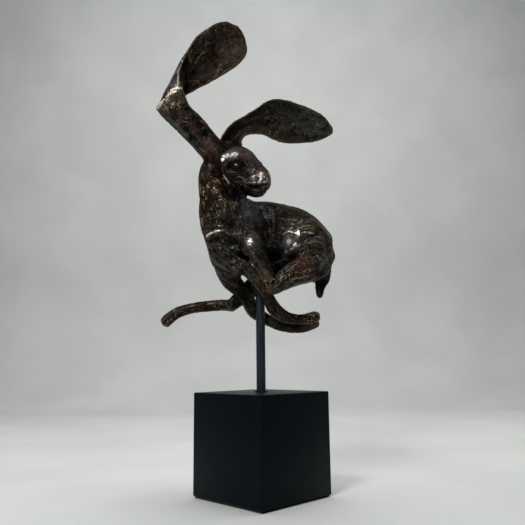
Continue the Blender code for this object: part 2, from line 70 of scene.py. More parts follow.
# The figure's own unit is a module: its places are counted in modules from the mouth of the rod's socket
MODULE = 0.001

# How finely the casting is made, in modules where they are sizes
BODY_GRAIN = 1.1
BODY_SMOOTHING = 7
FEATURE_SMOOTHING = 1
RING_POINTS = 20
STATION_STEPS = 4
SHEET_SAMPLES = 18

# How its forms are rounded: the domes at a limb's ends, how full its ovals are, and how softly a stroke ends
DOME_ANGLES = (24.0, 48.0, 72.0)
DOME_SHARE = 0.8
OVAL_POWER = 0.86
SOFT_EDGE = 1.13

# Walls of the ears, in modules, and the share by which they thin out at their rims
STEM_WALL = 5.1
LEAF_WALL = 3.4
FLAP_WALL = 3.0
RIM_THINNING = 0.3

# Height of the figure; a ray that looks for the skin starts that far to its side
MODULES_TALL = 331.0
SIDEWAYS = np.array([0.0, 1.0, 0.0])
FACINGS = {"near": (-1.0,), "far": (1.0,), "both": (-1.0, 1.0)}

# Tool marks on the casting: how long they are drawn out, how steep and high they are, and how they wander
STROKE_STRETCH = 0.22
STROKE_STEEPNESS = 6.0
STROKE_WANDER = 0.3
WRINKLES_PER_DAB = 1.5
WRINKLE_STEEPNESS = 14.0
WRINKLE_WANDER = 1.4
RIDGE_HEIGHT = 0.6
RIDGE_SINK = 0.2
DAB_HEIGHT = 1.4
POLISHED_AND_HIGHLIGHT_DAB_HEIGHT = 4.5
DAB_WANDER = 0.4
STREAK_STRETCH = 0.13

# How the finish reads the casting: the calm middle of a place, how sharply the near side ends, and over how
# many rounds of neighbours a crest or a recess is told from its surroundings
CALM_CORE = 0.4
NEAR_SIDE_EDGE = 2.0
CREST_ROUNDS = 5
RECESS_ROUNDS = 45

# Rod and block; the block is made wider by the corner loss times its edge radius, to keep its corners' reach
SEAT_GAP = 0.0003
ROD_RADIUS = 0.0046
ROUND_SIDES = 72
MERGE_DISTANCE = 0.00001
ROD_SHARP_ANGLE = math.radians(35.0)
BLOCK_TURN = math.radians(45.0)
BLOCK_RIM_ANGLE = math.radians(80.0)
BLOCK_SHARP_ANGLE = math.radians(30.0)
CORNER_LOSS = 2.0 * (math.sqrt(2.0) - 1.0)

# Lamps and air: each lamp's name, power in watts, size, place, what it aims at, and whether it is mirrored
KEY_POWER = 13.0
LAMPS = (
    ("key", KEY_POWER, 0.34, (-0.5, -1.0, 1.12), (0.0, 0.0, 0.3), True),
    ("top", 9.0, 0.8, (0.0, 0.15, 1.5), (0.0, 0.1, 0.0), False),
    ("wall", 13.0, 1.4, (0.0, 0.4, 1.5), (0.0, 1.5, 0.3), False),
    ("rim", 1.5, 0.4, (0.9, 0.5, 0.8), (0.0, 0.0, 0.35), True),
)
AIR_COLOUR = "#8f9290"
AIR_STRENGTH = 0.35

# Painted sweep: where the floor starts, how it bends up into the wall, and how high and wide it is
SWEEP_FRONT = -2.2
SWEEP_BEND = 0.45
SWEEP_TOP = 3.0
SWEEP_HALF_WIDTH = 3.0

# Camera at the photograph's viewing angle
CAMERA_PLACE = (0.00375, -0.6049, 0.12781)
CAMERA_PITCH = math.radians(9.66)
CAMERA_ROLL = math.radians(-0.611)
CAMERA_PAN = math.radians(0.101)
CAMERA_LENS_MM = 40.692
CAMERA_SENSOR_MM = 36.0
CAMERA_CLIP = (0.01, 20.0)

# Smoother places on the face and the paws: x, z, radius, and the share of the relief that is left there
CALM_PLACES = ((-23, 92, 13, 0.12), (-6, 84, 11, 0.8), (4, 74, 8, 0.9), (-18, 106, 12, 0.8))

# Places on the near side, each x, z, radius and how much: rubbed smooth by handling and waxing, and painted
# bright there as highlights and glints
POLISHED_AND_HIGHLIGHT_PLACES = (
    (-79, 170.5, 4.5, 0.95), (-27, 103.8, 4.6, 0.95), (4, 82, 6, 0.9), (-23, 94.4, 1.5, 1.2),
    (-9.5, 10.5, 7, 0.95), (29, 12, 5.5, 0.98), (35.5, 7.5, 5, 0.98), (39, 20, 5, 0.98), (50, 21, 4.5, 0.95),
)

# Edges rubbed down to the metal, and lines painted bright as highlights: radius, how much, and the points
# x, z along them
POLISHED_AND_HIGHLIGHT_LINES = (
    (5.2, 1.35, ((-103, 153.4), (-96.5, 158.6), (-90.4, 163), (-86, 167.6))),
    (3.8, 0.85, ((-83.4, 168.5), (-81.6, 174), (-81, 178))),
    (1.2, 0.78, ((-83.4, 134.1), (-75.1, 136.2), (-68.4, 133.9))),
    (1.2, 0.78, ((-67.7, 126.4), (-62.7, 128.1), (-55.2, 132.4))),
    (1.1, 0.75, ((-76.9, 124.7), (-71.9, 125.7))), (1.3, 0.85, ((-55.4, 116), (-49.6, 120.7))),
    (1.3, 0.78, ((-60.4, 111.6), (-55.4, 109.4))),
    (1.4, 0.78, ((-87.5, 150.5), (-79.2, 154.8), (-75.1, 160.1))),
    (2, 0.82, ((-81.6, 181), (-82.2, 190), (-81.4, 197), (-79, 206))),
    (2.4, 1.0, ((-54, 20.6), (-48.4, 23.2), (-41.3, 24.8))),
    (1.4, 0.85, ((-41.3, 24.8), (-35, 23.8), (-30, 20))),
    (4, 1.1, ((-37.4, 100.5), (-36, 103.6), (-32, 103.8))),
    (3.4, 1.05, ((-32, 103.2), (-28, 103.2), (-23, 103.8))),
    (1.1, 0.85, ((-15, 99.2), (-13.1, 96.4), (-11.3, 93.3))),
    (1.1, 0.78, ((-32.3, 89.8), (-28.4, 87.9), (-23.6, 86.9))),
    (1.3, 0.95, ((-36.6, 84.9), (-33.9, 81.1), (-30.9, 76.1))), (1.2, 0.85, ((-42.4, 81.9), (-35.8, 82.4))),
    (2.6, 0.95, ((-6.3, 81.1), (-2.7, 82.9), (3, 84.8))), (3.4, 1.0, ((2.4, 83.7), (1.7, 79.4), (2, 76.3))),
    (1.7, 0.95, ((-1, 74.9), (3.2, 74.5), (6.7, 75.4))),
    (1.6, 0.75, ((-15.2, 75.5), (-9.9, 74.8), (-4, 73.6))), (1.3, 0.95, ((9.2, 85.5), (10.6, 84.2))),
    (1.1, 0.85, ((-21.7, 82.2), (-19.1, 80.9))), (1.2, 0.85, ((-25.3, 77.9), (-22.9, 76.9))),
    (1.2, 0.8, ((-21.2, 77.8), (-19.4, 75.4))), (1.2, 0.8, ((3.7, 72), (4.9, 68.9), (3.6, 64.6))),
    (1.7, 0.95, ((23.4, 21.5), (29.6, 22.2), (38.7, 19))),
    (1.7, 0.95, ((41.8, 20.2), (48, 21.7), (54.1, 20.4))),
    (1.6, 0.9, ((29.4, 15.5), (28.6, 9.3), (30.7, 3.8))),
    (1.6, 0.9, ((30.7, 3.8), (36.8, 6.9), (40.7, 9.2))),
    (1.3, 0.85, ((52.6, 15.3), (57.3, 16.9), (61.1, 16))),
    (1.3, 0.8, ((-17, 57.9), (-12.2, 61.2), (-7.5, 54.5))), (1.2, 0.75, ((6.8, 44.1), (9, 34.4))),
    (1.3, 0.75, ((-50, 2), (-44, -6), (-35, -13), (-24, -17))),
)

# Zones where the patina has a colour of its own, and zones of painted sheen, bluish reflection and shade:
# x, z, radius, how much, colour
PATINA_AND_PAINTED_LIGHT_ZONES = (
    (-90, 177, 9, 0.9, "#5b5254"), (-84, 192, 7, 0.8, "#5b5254"), (-93, 151, 6, 0.8, "#50432a"),
    (-85.6, 154, 6, 0.7, "#3e3319"), (-77.3, 162.9, 6, 0.8, "#43381c"), (-93.1, 144.3, 5, 0.8, "#3d3026"),
    (-81.2, 137.1, 5, 1.0, "#3f1c10"), (-65.3, 130.7, 5, 0.9, "#3a2018"), (-49.3, 115.6, 5, 1.0, "#5a4434"),
    (-52.6, 110.4, 5, 1.0, "#4a2214"), (-72, 140, 8, 0.5, "#241512"), (-15, 108, 11, 0.9, "#57463f"),
    (-30, 104, 9, 0.9, "#5a4a42"), (-5, 90, 8, 0.5, "#3a2a30"), (3, 82, 7, 0.9, "#5a4c42"),
    (1, 66, 7, 0.8, "#1a130e"), (-22, 66, 12, 0.9, "#07090c"), (-48, 78, 15, 0.6, "#2a1712"),
    (-46, 52, 16, 0.5, "#241410"), (-10, 47, 12, 0.9, "#36414a"), (-40, 10, 12, 0.5, "#171c22"),
    (36, 16, 12, 0.8, "#4a4a54"), (66, 20, 12, 0.7, "#4c3f30"), (-30, 222, 24, 0.8, "#3a2f28"),
    (-58, 192, 16, 0.7, "#352b25"), (24, 158, 22, 0.8, "#31312b"), (62, 154, 20, 0.9, "#373a35"),
    (66, -10, 10, 0.8, "#3c4444"), (42, -14, 12, 0.7, "#48291c"), (4, -26, 9, 0.7, "#4a3a20"),
    (-9, 10, 8, 0.7, "#3a4250"), (-60, -47, 24, 0.7, "#0c0a09"), (16, -60, 16, 0.7, "#0a0807"),
    (10, 54, 12, 0.6, "#2c2a24"), (34, 46, 16, 0.5, "#1d211a"),
)

# Places where the patina is scratched through to the metal
GILDED_PLACES = (
    (-48, 90, 12, 0.9), (-52, 70, 15, 1.0), (-44, 50, 20, 1.0), (-26, 62, 12, 0.9), (-46, 30, 12, 0.7),
    (-46, 205, 18, 0.5), (-30, 222, 14, 0.4), (-66, 185, 14, 0.4), (16, 160, 16, 0.5), (40, 158, 16, 0.2),
    (-2, 160, 10, 0.3), (-66, 136, 14, 0.25), (-50, 120, 10, 0.35), (-84, 154, 11, 0.9), (42, -10, 16, 0.9),
    (24, -22, 12, 0.8), (58, 0, 12, 0.7), (8, 70, 8, 0.9), (-22, 78, 9, 1.0), (-16, -8, 14, 0.6),
    (8, -28, 9, 0.8), (50, -60, 12, 0.7), (-60, -46, 22, 0.6), (-95, -58, 10, 0.6), (40, 30, 14, 0.6),
    (-24, -1, 5, 0.7), (-12, -9, 5, 0.8), (-2, -23, 5, 0.8), (4, -34, 5, 0.8), (4, 68, 5, 0.7),
)

# Places that were left dull, without wax
DULL_PLACES = (
    (-26, 232, 26, 1.0), (-44, 212, 26, 1.0), (-66, 190, 20, 1.0), (-90, 182, 10, 0.6), (-46, 82, 20, 0.9),
    (-48, 56, 20, 0.8), (30, 158, 30, 0.9), (66, 152, 20, 1.0), (62, 20, 12, 0.6), (-24, 86, 9, 0.8),
    (-11, 84, 5, 0.8), (-30, 33, 10, 0.9), (-60, -48, 26, 0.6), (0, -50, 16, 0.6), (36, -66, 22, 0.6),
)

# Places where the patina stays black, and where shade is painted near-black in the eye, mouth and hollows
BLACK_AND_SHADE_PLACES = (
    (-26.8, 94.4, 2.9, 1.0), (-19.2, 94.2, 2.9, 1.0), (-31, 96, 3.2, 1.0), (-24, 98.6, 2.8, 1.0),
    (-28.4, 97.6, 2.6, 1.0), (-20, 98.2, 2.6, 1.0), (-16.6, 96.4, 2.8, 1.0), (-25.4, 91, 2.2, 1.0),
    (-21, 90.8, 2.2, 1.0), (-14.6, 93.2, 2.4, 0.9), (-31.5, 91.8, 2.6, 0.8), (-24, 89.4, 2.4, 0.8),
    (-18.5, 90.2, 2.2, 0.8), (-20, 83, 5, 0.4), (-8, 71.4, 2.2, 0.9), (-2.6, 70.9, 2.2, 0.9),
    (-12, 67, 6, 0.8), (-24, 66, 11, 1.0), (-31, 118, 9, 0.9), (16, 0, 12, 1.0), (14, 30, 10, 0.6),
    (-14, 48, 12, 0.5), (64, -26, 12, 0.9), (-22, -40, 12, 0.8), (0, -52, 9, 0.8), (-24, 12, 7, 0.7),
    (-85.5, 140.7, 3, 0.7), (-76.2, 133.5, 3, 0.8), (-72.8, 129.9, 3, 0.8), (-69.3, 122, 4, 0.8),
    (-55.2, 126.2, 4, 0.9), (-61.1, 132, 4, 0.7), (-72.2, 150, 4, 0.7), (-64.5, 140.4, 4, 0.6),
    (-54.2, 103.5, 4, 0.8), (-44.3, 119.1, 4, 0.6),
)

# Attribute of the casting that each kind of place is written to
COVERS = (
    ("polish", POLISHED_AND_HIGHLIGHT_PLACES), ("gilding", GILDED_PLACES), ("dull", DULL_PLACES), ("black", BLACK_AND_SHADE_PLACES),
)

# Solid forms of the body: x, y, z, half height and half width of each section
NECK_AND_CHEST = (
    (-47, 0, 104, 11, 9), (-47.5, 0, 97, 15, 13), (-47, 0, 82, 17.8, 15), (-39.5, 0, 64, 25.2, 18),
    (-35, 0, 43, 27.8, 21.5), (-31.2, 0, 20, 25.6, 22.5), (-31.6, 0, 0, 20, 19), (-30, 1, -13, 13.4, 13),
)
TRUNK = (
    (-32, 0, 26, 30.4, 21.5), (-18, 0, 27.5, 31.8, 23.5), (2, 0, 26.5, 33.8, 23), (18, 0, 23.2, 34.6, 20.5),
    (34, 0, 19, 34, 20.5), (46, 0, 8.5, 31.4, 21.5), (54.5, 0, -4, 24.5, 20), (57, 0, -14, 15, 14),
)
NEAR_SHOULDER = (
    (-13, -5, 55.6, 7.5, 8), (-9, -10, 42, 16, 13), (-10, -12.5, 26, 19, 14.5), (-22, -13, 13, 16, 13),
    (-37, -12, 8, 9, 10),
)
NEAR_THIGH = (
    (62, -4, 13, 16.5, 15), (52, -9, 16, 21.5, 19), (41, -11, 13, 23, 19), (33, -12, 6, 19, 16.8),
    (27, -13, 2, 14, 13.2),
)
NEAR_CALF = (
    (65, -6, 2, 13, 13), (56, -11, -8, 16, 15.5), (44, -18, -15, 14.4, 13), (31, -23, -22, 11.4, 10.5),
    (21, -26.5, -28.6, 9.2, 8.4), (13, -28, -34.5, 6.8, 6.8),
)
NEAR_HIND_FOOT = (
    (14, -28, -36, 6.2, 6.2), (9, -29, -27, 6.8, 6.4), (3.5, -30, -14.5, 7.4, 6.6), (-1, -30, -5, 8.8, 7),
    (-6, -28, 5, 11, 7.6), (-9, -25, 14, 12.5, 8), (-9, -20, 26, 12, 7),
)
NEAR_FORELEG = (
    (-45, -13, 11, 8, 8), (-38, -15, 7, 9.6, 9), (-26, -16.5, -4.5, 8.8, 8), (-12, -16.5, -15, 7, 6.4),
    (-1, -15, -28, 6, 5.8), (7, -13.5, -40, 5.8, 5.4), (11.5, -12.5, -49, 6.9, 5.7), (15.5, -12, -55, 7, 5.8),
    (24, -11.5, -60.8, 6, 5.3), (34, -11, -63.8, 5.1, 5), (44, -11, -63.8, 5, 5.2),
    (53, -11, -62, 5.6, 5.6), (56.5, -11, -61.5, 5, 5),
)
FAR_FORELEG = (
    (-36, 6, -5, 12.6, 10), (-31, 9, -20, 10.6, 8.5), (-21, 11, -31, 8.4, 7), (-12.5, 12, -43, 7.6, 6),
    (-6.5, 12.5, -52.5, 8.2, 6), (1, 13, -59, 6.6, 5.6), (9, 13, -63.4, 6, 5.4), (20, 13.5, -68.2, 5.9, 5.3),
    (33, 13.5, -71, 5.5, 5.2), (44, 13.5, -71.2, 5, 5.2), (54, 13.5, -68, 5, 5), (58, 13.5, -66.5, 4.4, 4.6),
)
FAR_THIGH = (
    (60, 10, 24, 15, 12), (46, 16, 18, 19, 13), (28, 20, 4, 17, 12), (12, 21, -9, 13, 10),
    (-2, 20.5, -22, 10.5, 8.5), (-12, 20, -31, 9.8, 7.5), (-22, 20, -39, 8, 6.5), (-30, 20, -46, 6.4, 6),
)
FAR_HIND_FOOT = (
    (-29, 20, -47.5, 5.8, 5.6), (-37, 21, -46, 6, 5.6), (-54, 22, -46.6, 5.9, 5.5), (-74, 23, -49, 5.6, 5.4),
    (-87, 24, -52.8, 6, 5.5), (-96, 25, -58.4, 6.3, 5.8), (-100.5, 25, -63, 6, 5.8),
)
TAIL = (
    (66, 2, 6, 8, 6), (66.5, 3, -8, 8, 6), (64.5, 4, -20, 7.5, 5.5), (62, 5, -30, 5.4, 4),
    (61.2, 5, -39.5, 3.2, 2.8),
)
TAIL_SHOULDER = ((69, 2, -4, 5, 5), (69, 3, -16, 4.4, 4.4), (67.6, 3, -25, 3.4, 3.4))
HEAD = (
    (-38, -1, 104.5, 12, 11.6), (-31, -3, 101, 19.4, 15.6), (-22, -5, 97, 22.2, 16.8),
    (-13, -7, 89.2, 19.3, 15.4), (-6, -9, 83, 18.8, 12.8), (-1, -10.5, 81, 18.8, 12),
    (1.8, -12.2, 80.8, 17, 11.4), (4.4, -13.6, 81.1, 12.8, 9.6),
)
NOSE_BRIDGE = (
    (-13.5, -8, 105.5, 6, 10), (-7, -9, 98.6, 6, 10.5), (-2, -10, 93.8, 6, 10.4), (3.5, -11.5, 88.8, 5.6, 9),
    (6.5, -12, 86.2, 5, 7.6),
)
NEAR_EAR_ROOT = ((-46, -3, 96, 10, 8), (-49, -6, 105, 9, 6.5), (-53, -9, 113, 6, 4.5))
NEAR_EAR_CREST = (
    (-102.5, -29, 154.5, 2.8, 3.2), (-96.5, -31, 159, 3.2, 3.8), (-89.5, -32.5, 164, 3.4, 4),
    (-83.5, -33.5, 170.5, 3.4, 4), (-79, -33.5, 176.5, 3, 3.6), (-80.6, -32, 185, 2, 2.6),
)
FAR_EAR_ROOT = ((-31, 0, 104, 11, 9), (-31, 3, 113, 10.5, 8), (-32, 8, 122, 9, 6.5), (-33, 12, 130, 6, 4))
LIMBS = (
    NECK_AND_CHEST, TRUNK, NEAR_SHOULDER, NEAR_THIGH, NEAR_CALF, NEAR_HIND_FOOT, NEAR_FORELEG, FAR_FORELEG,
    FAR_THIGH, FAR_HIND_FOOT, TAIL, TAIL_SHOULDER, HEAD, NOSE_BRIDGE, NEAR_EAR_ROOT, NEAR_EAR_CREST,
    FAR_EAR_ROOT,
)

# Sheets of the ears: left edge x, y, z, right edge x, y, z, and how far the middle is pushed back
NEAR_EAR_STEM = (
    (-53.5, -1, 95, -33, -1, 106, -8), (-56, -6, 103.5, -35, -6, 117, -11),
    (-64, -12, 113, -45.5, -12, 128, -12), (-73.5, -17, 122.5, -54.5, -17, 138.5, -12),
    (-84, -21, 132.5, -63, -21, 147.5, -12), (-95.5, -25, 143, -72, -25, 155, -12),
    (-104.5, -28, 153.5, -77.5, -28, 170, -11),
)
NEAR_EAR_LEAF = (
    (-103, -27, 154, -76, -24, 171, 6), (-95, -27, 176, -63.6, -22, 178.6, 9),
    (-86.6, -26, 195.4, -47, -21, 187.6, 9), (-77.5, -25, 215, -31.6, -20, 197.6, 8),
    (-65.6, -24, 235.4, -18, -20, 208, 7), (-54, -24, 245, -11.2, -20, 220, 6),
    (-46, -23, 251, -12, -20, 232, 4), (-39, -22, 254.5, -15.4, -21, 242, 2),
    (-32, -21, 255, -20.5, -21, 249.5, 1),
)
NEAR_EAR_FLAP = (
    (-103.5, -29, 155, -76, -36, 171, -2), (-97, -28, 171, -80, -37, 183, -2),
    (-90.4, -27, 185, -79.2, -33, 195, -1), (-84.4, -26, 200, -77.4, -29, 204, 0),
    (-79, -25, 212, -74.5, -26, 215, 0),
)
FAR_EAR = (
    (-40, 1, 114, -17, 1, 112, 5), (-41.4, 3, 122, -17, 3, 119, 8), (-42, 6, 131, -18.6, 6, 128, 10),
    (-38, 9, 141, -18.6, 9, 133.6, 10), (-29.8, 12, 152.8, -15, 12, 139.6, 9),
    (-17, 15, 162.5, -7, 15, 142.4, 8), (-3.4, 18, 172.6, 5, 18, 142.4, 7),
    (12.6, 20, 184, 18, 20, 136.4, 7), (30, 20, 184, 32, 20, 133, 7), (46.4, 20, 178.2, 47, 20, 133, 6),
    (63.4, 20, 170.8, 61, 20, 134.2, 5), (74, 20, 162.8, 72, 20, 137.8, 3), (80, 20, 154, 79.6, 20, 142, 2),
    (82.6, 20, 149, 82.6, 20, 145, 1),
)
SHEETS = (
    (NEAR_EAR_STEM, STEM_WALL, 0.5), (NEAR_EAR_LEAF, LEAF_WALL, 0.9), (NEAR_EAR_FLAP, FLAP_WALL, 1.0),
    (FAR_EAR, LEAF_WALL, 0.8),
)

# Carved strokes: name, side, half width, depth (negative cuts in), and the points x, z along the skin
STROKES = (
    ("groove between thigh and calf", "near", 3.2, -3.6,
     ((58.5, 20), (50, 17), (42.5, 11.5), (38.5, 1.5), (31, -4), (23.5, -8.5), (17, -15))),
    ("edge of the thigh at the flank", "near", 4.2, -2.8,
     ((22, 31), (19, 22), (15.5, 9), (14, -4), (15, -16))),
    ("hollow before the knee", "near", 6, -3.4, ((16.5, -4), (17, -12))),
    ("back edge of the shoulder", "near", 2.8, -2.6,
     ((2, 46), (7.5, 34), (10, 22.5), (8.5, 11), (10.5, -0.5), (10, -12))),
    ("upper fold of the thigh", "near", 2.4, 1.2, ((28, 24.5), (35.5, 27), (44.5, 26.5), (55.5, 22.5))),
    ("crease under that fold", "near", 2, -1.4, ((55.5, 18.5), (49, 20), (43, 19.5))),
    ("lower fold of the thigh", "near", 4.5, 1.8, ((42, 16), (37, 9), (32, 2), (26, -3))),
    ("calf muscle", "near", 6, 1.6, ((59.5, -7), (47, -8), (34.5, -13.5), (23.5, -21))),
    ("calf tendon", "near", 2, 1.2, ((54.5, 0.5), (45, -2), (33.5, -9.5), (21, -19))),
    ("crease behind the calf", "near", 2.8, -1.8, ((54.5, -1.5), (59, -9), (57.5, -19))),
    ("rump crease", "near", 2.4, -1.2, ((66, 18), (69, 9), (68, -2.5))),
    ("edge of the foot", "near", 2.2, -2, ((10.5, -2), (9.5, -13), (14, -23))),
    ("between foot and foreleg", "near", 1.9, -2.6,
     ((-19, 1), (-9.5, -6), (-2.7, -13), (2, -22), (8, -32))),
    ("foreleg tendon", "near", 1.5, 1.6,
     ((-31, 4.5), (-22.5, -3), (-12.5, -9.2), (-6.6, -15.7), (-0.8, -23.7), (3.5, -33), (11, -39))),
    ("head of the shoulder", "near", 4.4, 1.6, ((-9.5, 14), (-9.5, 8.5), (-7.5, 4.5))),
    ("chest fold", "near", 2.6, 2.4, ((-52, 20.5), (-44.5, 23), (-35.5, 25))),
    ("crease under the chest fold", "near", 2.2, -2.2, ((-51.5, 16.5), (-41.5, 17), (-34.5, 21))),
    ("shoulder point", "near", 5, 2, ((-32, 22), (-23.5, 20), (-20.5, 14.5))),
    ("hollow of the shoulder point", "near", 3.2, -3, ((-29, 12), (-19.5, 8.5))),
    ("upper skin fold of the chest", "near", 2.2, 1.8, ((-51, 6.5), (-45, -4), (-36.5, -11), (-22.5, -15.5))),
    ("skin crease of the chest", "near", 2.2, -2.0, ((-46.5, 5.5), (-35, -7), (-22.5, -13.5), (-12.5, -21))),
    ("lower skin fold of the chest", "near", 2.2, 1.5, ((-44, -11.5), (-36.5, -16.5), (-27.5, -19.5))),
    ("throat hollow", "near", 5.6, -4.6, ((-28, 70.5), (-22.5, 66))),
    ("withers", "near", 5.5, 2.6, ((-11, 53), (-13.5, 47), (-11, 39.5))),
    ("crease before the withers", "near", 2.6, -2, ((-19, 54.5), (-19.5, 45), (-17.5, 30.5))),
    ("first rib fold", "near", 2.4, 1.4, ((13.5, 47.5), (15, 33.5), (14, 20.5))),
    ("second rib fold", "near", 2.2, -1.2, ((10, 46.5), (11, 33.5), (11, 20.5))),
    ("loin muscle", "near", 5.5, 1.2, ((29, 46.5), (43, 41), (54.5, 32))),
    ("heel tendon", "near", 2, 1.2, ((15.5, -36.5), (24.5, -35), (37, -29.5), (50.5, -26))),
    ("forearm crease", "near", 1.8, -1.5, ((3, -28.5), (6.5, -38.5), (10.5, -47.5), (17, -55))),
    ("wrist knuckle", "near", 3.2, 1.4, ((9.5, -48), (11.5, -51.5))),
    ("toe gap of the near paw", "near", 1.3, -1.8, ((47, -63.5), (60, -61.5))),
    ("toe gap of the far paw", "far", 1.3, -1.8, ((48, -70), (60, -67))),
    ("toe gap of the far foot", "both", 1.4, -1.8, ((-92, -56), (-103, -65))),
    ("far shoulder", "far", 8, 2.4, ((-14, 44), (-18, 28), (-28, 12))),
    ("back edge of the far shoulder", "far", 3.6, -2.4, ((2, 46), (6, 28), (0, 8))),
    ("flank before the far thigh", "far", 4.4, -2.4, ((24, 38), (18, 24), (10, 10))),
    ("groove over the far calf", "far", 3.4, -2.4, ((62, 12), (44, 4), (26, -6), (10, -18))),
    ("far loin muscle", "far", 5.5, 1.2, ((29, 46.5), (43, 41), (54.5, 32))),
    ("fold in the far ear", "near", 4, -1, ((-20, 150), (0, 157), (30, 160), (60, 154))),
    ("jowl", "both", 3, 2.2, ((-36, 98), (-36.5, 89.5), (-34.5, 81.5), (-30.5, 76.5))),
    ("crease behind the jowl", "both", 2.8, -2.6, ((-40, 99), (-41, 88.5), (-37.5, 78), (-31.5, 70.5))),
    ("brow", "both", 6.2, 3.6, ((-38, 101), (-33.5, 104), (-27, 105.2), (-21, 104.4))),
    ("eye socket", "both", 5.2, -4.2, ((-31, 93.4), (-23, 93.2), (-15.5, 92.4))),
    ("corner of the eye", "both", 4.2, -1.2, ((-10.5, 89), (-9, 84))),
    ("cheek", "both", 6, 1.6, ((-24, 78), (-18.5, 76.5))),
    ("upper lip", "both", 2.4, 1.2, ((-14, 75.8), (-8, 73.8), (-2, 73.4), (4, 74.6))),
    ("mouth", "both", 1.6, -2.2, ((-15, 73.2), (-10.7, 71.3), (-4.9, 70.2), (0.8, 70.8), (7, 72.4))),
    ("lower jaw", "both", 3.6, -1.2, ((-10, 66.5), (-2, 65.4), (4, 66.4))),
    ("nostril", "both", 1.5, -1.8, ((8.5, 79), (10, 81))),
    ("whisker pad", "both", 7.5, 0.9, ((0, 80), (4, 80))),
    ("throat fold", "near", 2.2, 1.8, ((-27.5, 69.5), (-23, 64.5), (-16, 63.5))),
)

# Small forms laid on the skin: name, side, how deep they sit in it, then x, z, half height and half width
LAID_ON = (
    ("eyeball", "both", 1.9, ((-24.6, 94, 4.2, 4.4), (-21, 93.8, 4.2, 4.4))),
    ("upper lid", "both", -0.1,
     ((-35, 93.4, 1.1, 1.3), (-29.5, 98, 1.5, 1.6), (-22.4, 99.6, 1.6, 1.7), (-16, 97.6, 1.5, 1.6),
      (-12, 93, 1.1, 1.3))),
    ("lower lid", "both", 0.2,
     ((-34.4, 92.6, 1, 1.2), (-29, 90, 1.2, 1.4), (-22.6, 88.7, 1.3, 1.4), (-16.4, 89.8, 1.2, 1.4),
      (-12, 92.6, 1, 1.2))),
    ("fold under the eye", "both", 0.9,
     ((-32.6, 87.6, 1, 1.2), (-27, 84.6, 1.3, 1.5), (-20, 83.4, 1.3, 1.5), (-14.5, 85.4, 1.2, 1.4),
      (-10.5, 89, 0.9, 1.1))),
)

# Nodes in frequent use: their kind, and the settings that they have throughout
COMMON_NODES = {
    "noise": ("ShaderNodeTexNoise", {"noise_dimensions": "4D"}),
    "ramp": ("ShaderNodeMapRange", {"interpolation_type": "SMOOTHSTEP"}),
    "blend": ("ShaderNodeMix", {"data_type": "RGBA"}),
    "stretch": ("ShaderNodeVectorMath", {"operation": "MULTIPLY"}),
    **{name: ("ShaderNodeMath", {"operation": name.upper()})
       for name in ("add", "subtract", "multiply", "divide", "maximum", "absolute")},
}


def linear(colour):
    """A hex sRGB colour as linear red, green, blue and alpha."""
    parts = [int(colour[i:i + 2], 16) / 255 for i in (1, 3, 5)]
    return (*(c / 12.92 if c <= 0.04045 else ((c + 0.055) / 1.055) ** 2.4 for c in parts), 1.0)


def every_mm(period):
    """The scale of a pattern whose blotches are that many millimetres across."""
    return 1000.0 / period


def add_node(tree, kind, *values, outlet=None, **named):
    """Adds a node and gives its output.

    The values fill its inputs in order. A named one fills the input of that name, or else is a setting. An
    input takes a number, a hex colour or the output that is linked to it.
    """
    kind, settings = COMMON_NODES.get(kind, (kind, {}))
    node = tree.nodes.new(kind)
    for name, value in {**settings, **named}.items():
        if name not in node.inputs:
            setattr(node, name, value)
    fillings = list(zip([socket for socket in node.inputs if socket.enabled], values))
    fillings += [(node.inputs[name], value) for name, value in named.items() if name in node.inputs]
    for socket, value in fillings:
        if isinstance(value, bpy.types.NodeSocket):
            tree.links.new(value, socket)
        else:
            socket.default_value = linear(value) if str(value).startswith("#") else value
    if outlet:
        return node.outputs[outlet]
    return next((socket for socket in node.outputs if socket.enabled), None)


def new_finish(name):
    """An empty material, the function that adds nodes to it, and the object's own coordinates."""
    made = bpy.data.materials.new(name)
    made.use_nodes = True
    made.node_tree.nodes.clear()
    node = partial(add_node, made.node_tree)
    return made, node, node("ShaderNodeTexCoord", outlet="Object")


def finish_surface(node, inputs):
    """The shader and the output that every finish here ends in."""
    node("ShaderNodeOutputMaterial", node("ShaderNodeBsdfPrincipled", **inputs))


def collected(geometry, name, material):
    """The geometry as an object of its own in the scene."""
    item = bpy.data.objects.new(name, geometry)
    item.data.name = name
    item.data.materials.clear()
    item.data.materials.append(material)
    bpy.context.scene.collection.objects.link(item)
    return item


def evaluated_mesh(item):
    """The object's mesh as its modifiers leave it; the modifiers are then removed."""
    shape = item.evaluated_get(bpy.context.evaluated_depsgraph_get())
    mesh = bpy.data.meshes.new_from_object(shape)
    item.modifiers.clear()
    item.data = mesh
    return mesh


def ride_as(item, node):
    """Hands the finished piece to the frame in place of the CAD node."""
    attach(item, "root")
    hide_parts(node)


# Forms of the casting


def eased(rows, steps):
    """Rows of numbers on a smooth Catmull-Rom curve through the given ones."""
    given = np.array(rows, float)
    padded = np.vstack([2 * given[0] - given[1], given, 2 * given[-1] - given[-2]])
    result = []
    for index in range(len(given) - 1):
        a, b, c, d = padded[index:index + 4]
        for step in range(steps):
            t = step / steps
            result.append(0.5 * (2 * b + (c - a) * t + (2 * a - 5 * b + 4 * c - d) * t ** 2
                                 + (3 * b - a - 3 * c + d) * t ** 3))
    result.append(given[-1])
    return np.array(result)


def unit(vectors):
    """Vectors scaled to length one."""
    return vectors / np.maximum(np.linalg.norm(vectors, axis=-1, keepdims=True), 1e-9)


def placed(points):
    """Points of the figure, in modules from the socket's mouth, as metres."""
    return np.asarray(points, float) * MODULE + np.array([0.0, 0.0, SOCKET_HEIGHT])


def limb_axes(rows):
    """Along, sideways and up directions at each section of a limb."""
    along = unit(np.gradient(rows[:, :3], axis=0))
    side = unit(SIDEWAYS - along * (along @ SIDEWAYS)[:, None])
    return along, side, np.cross(side, along)


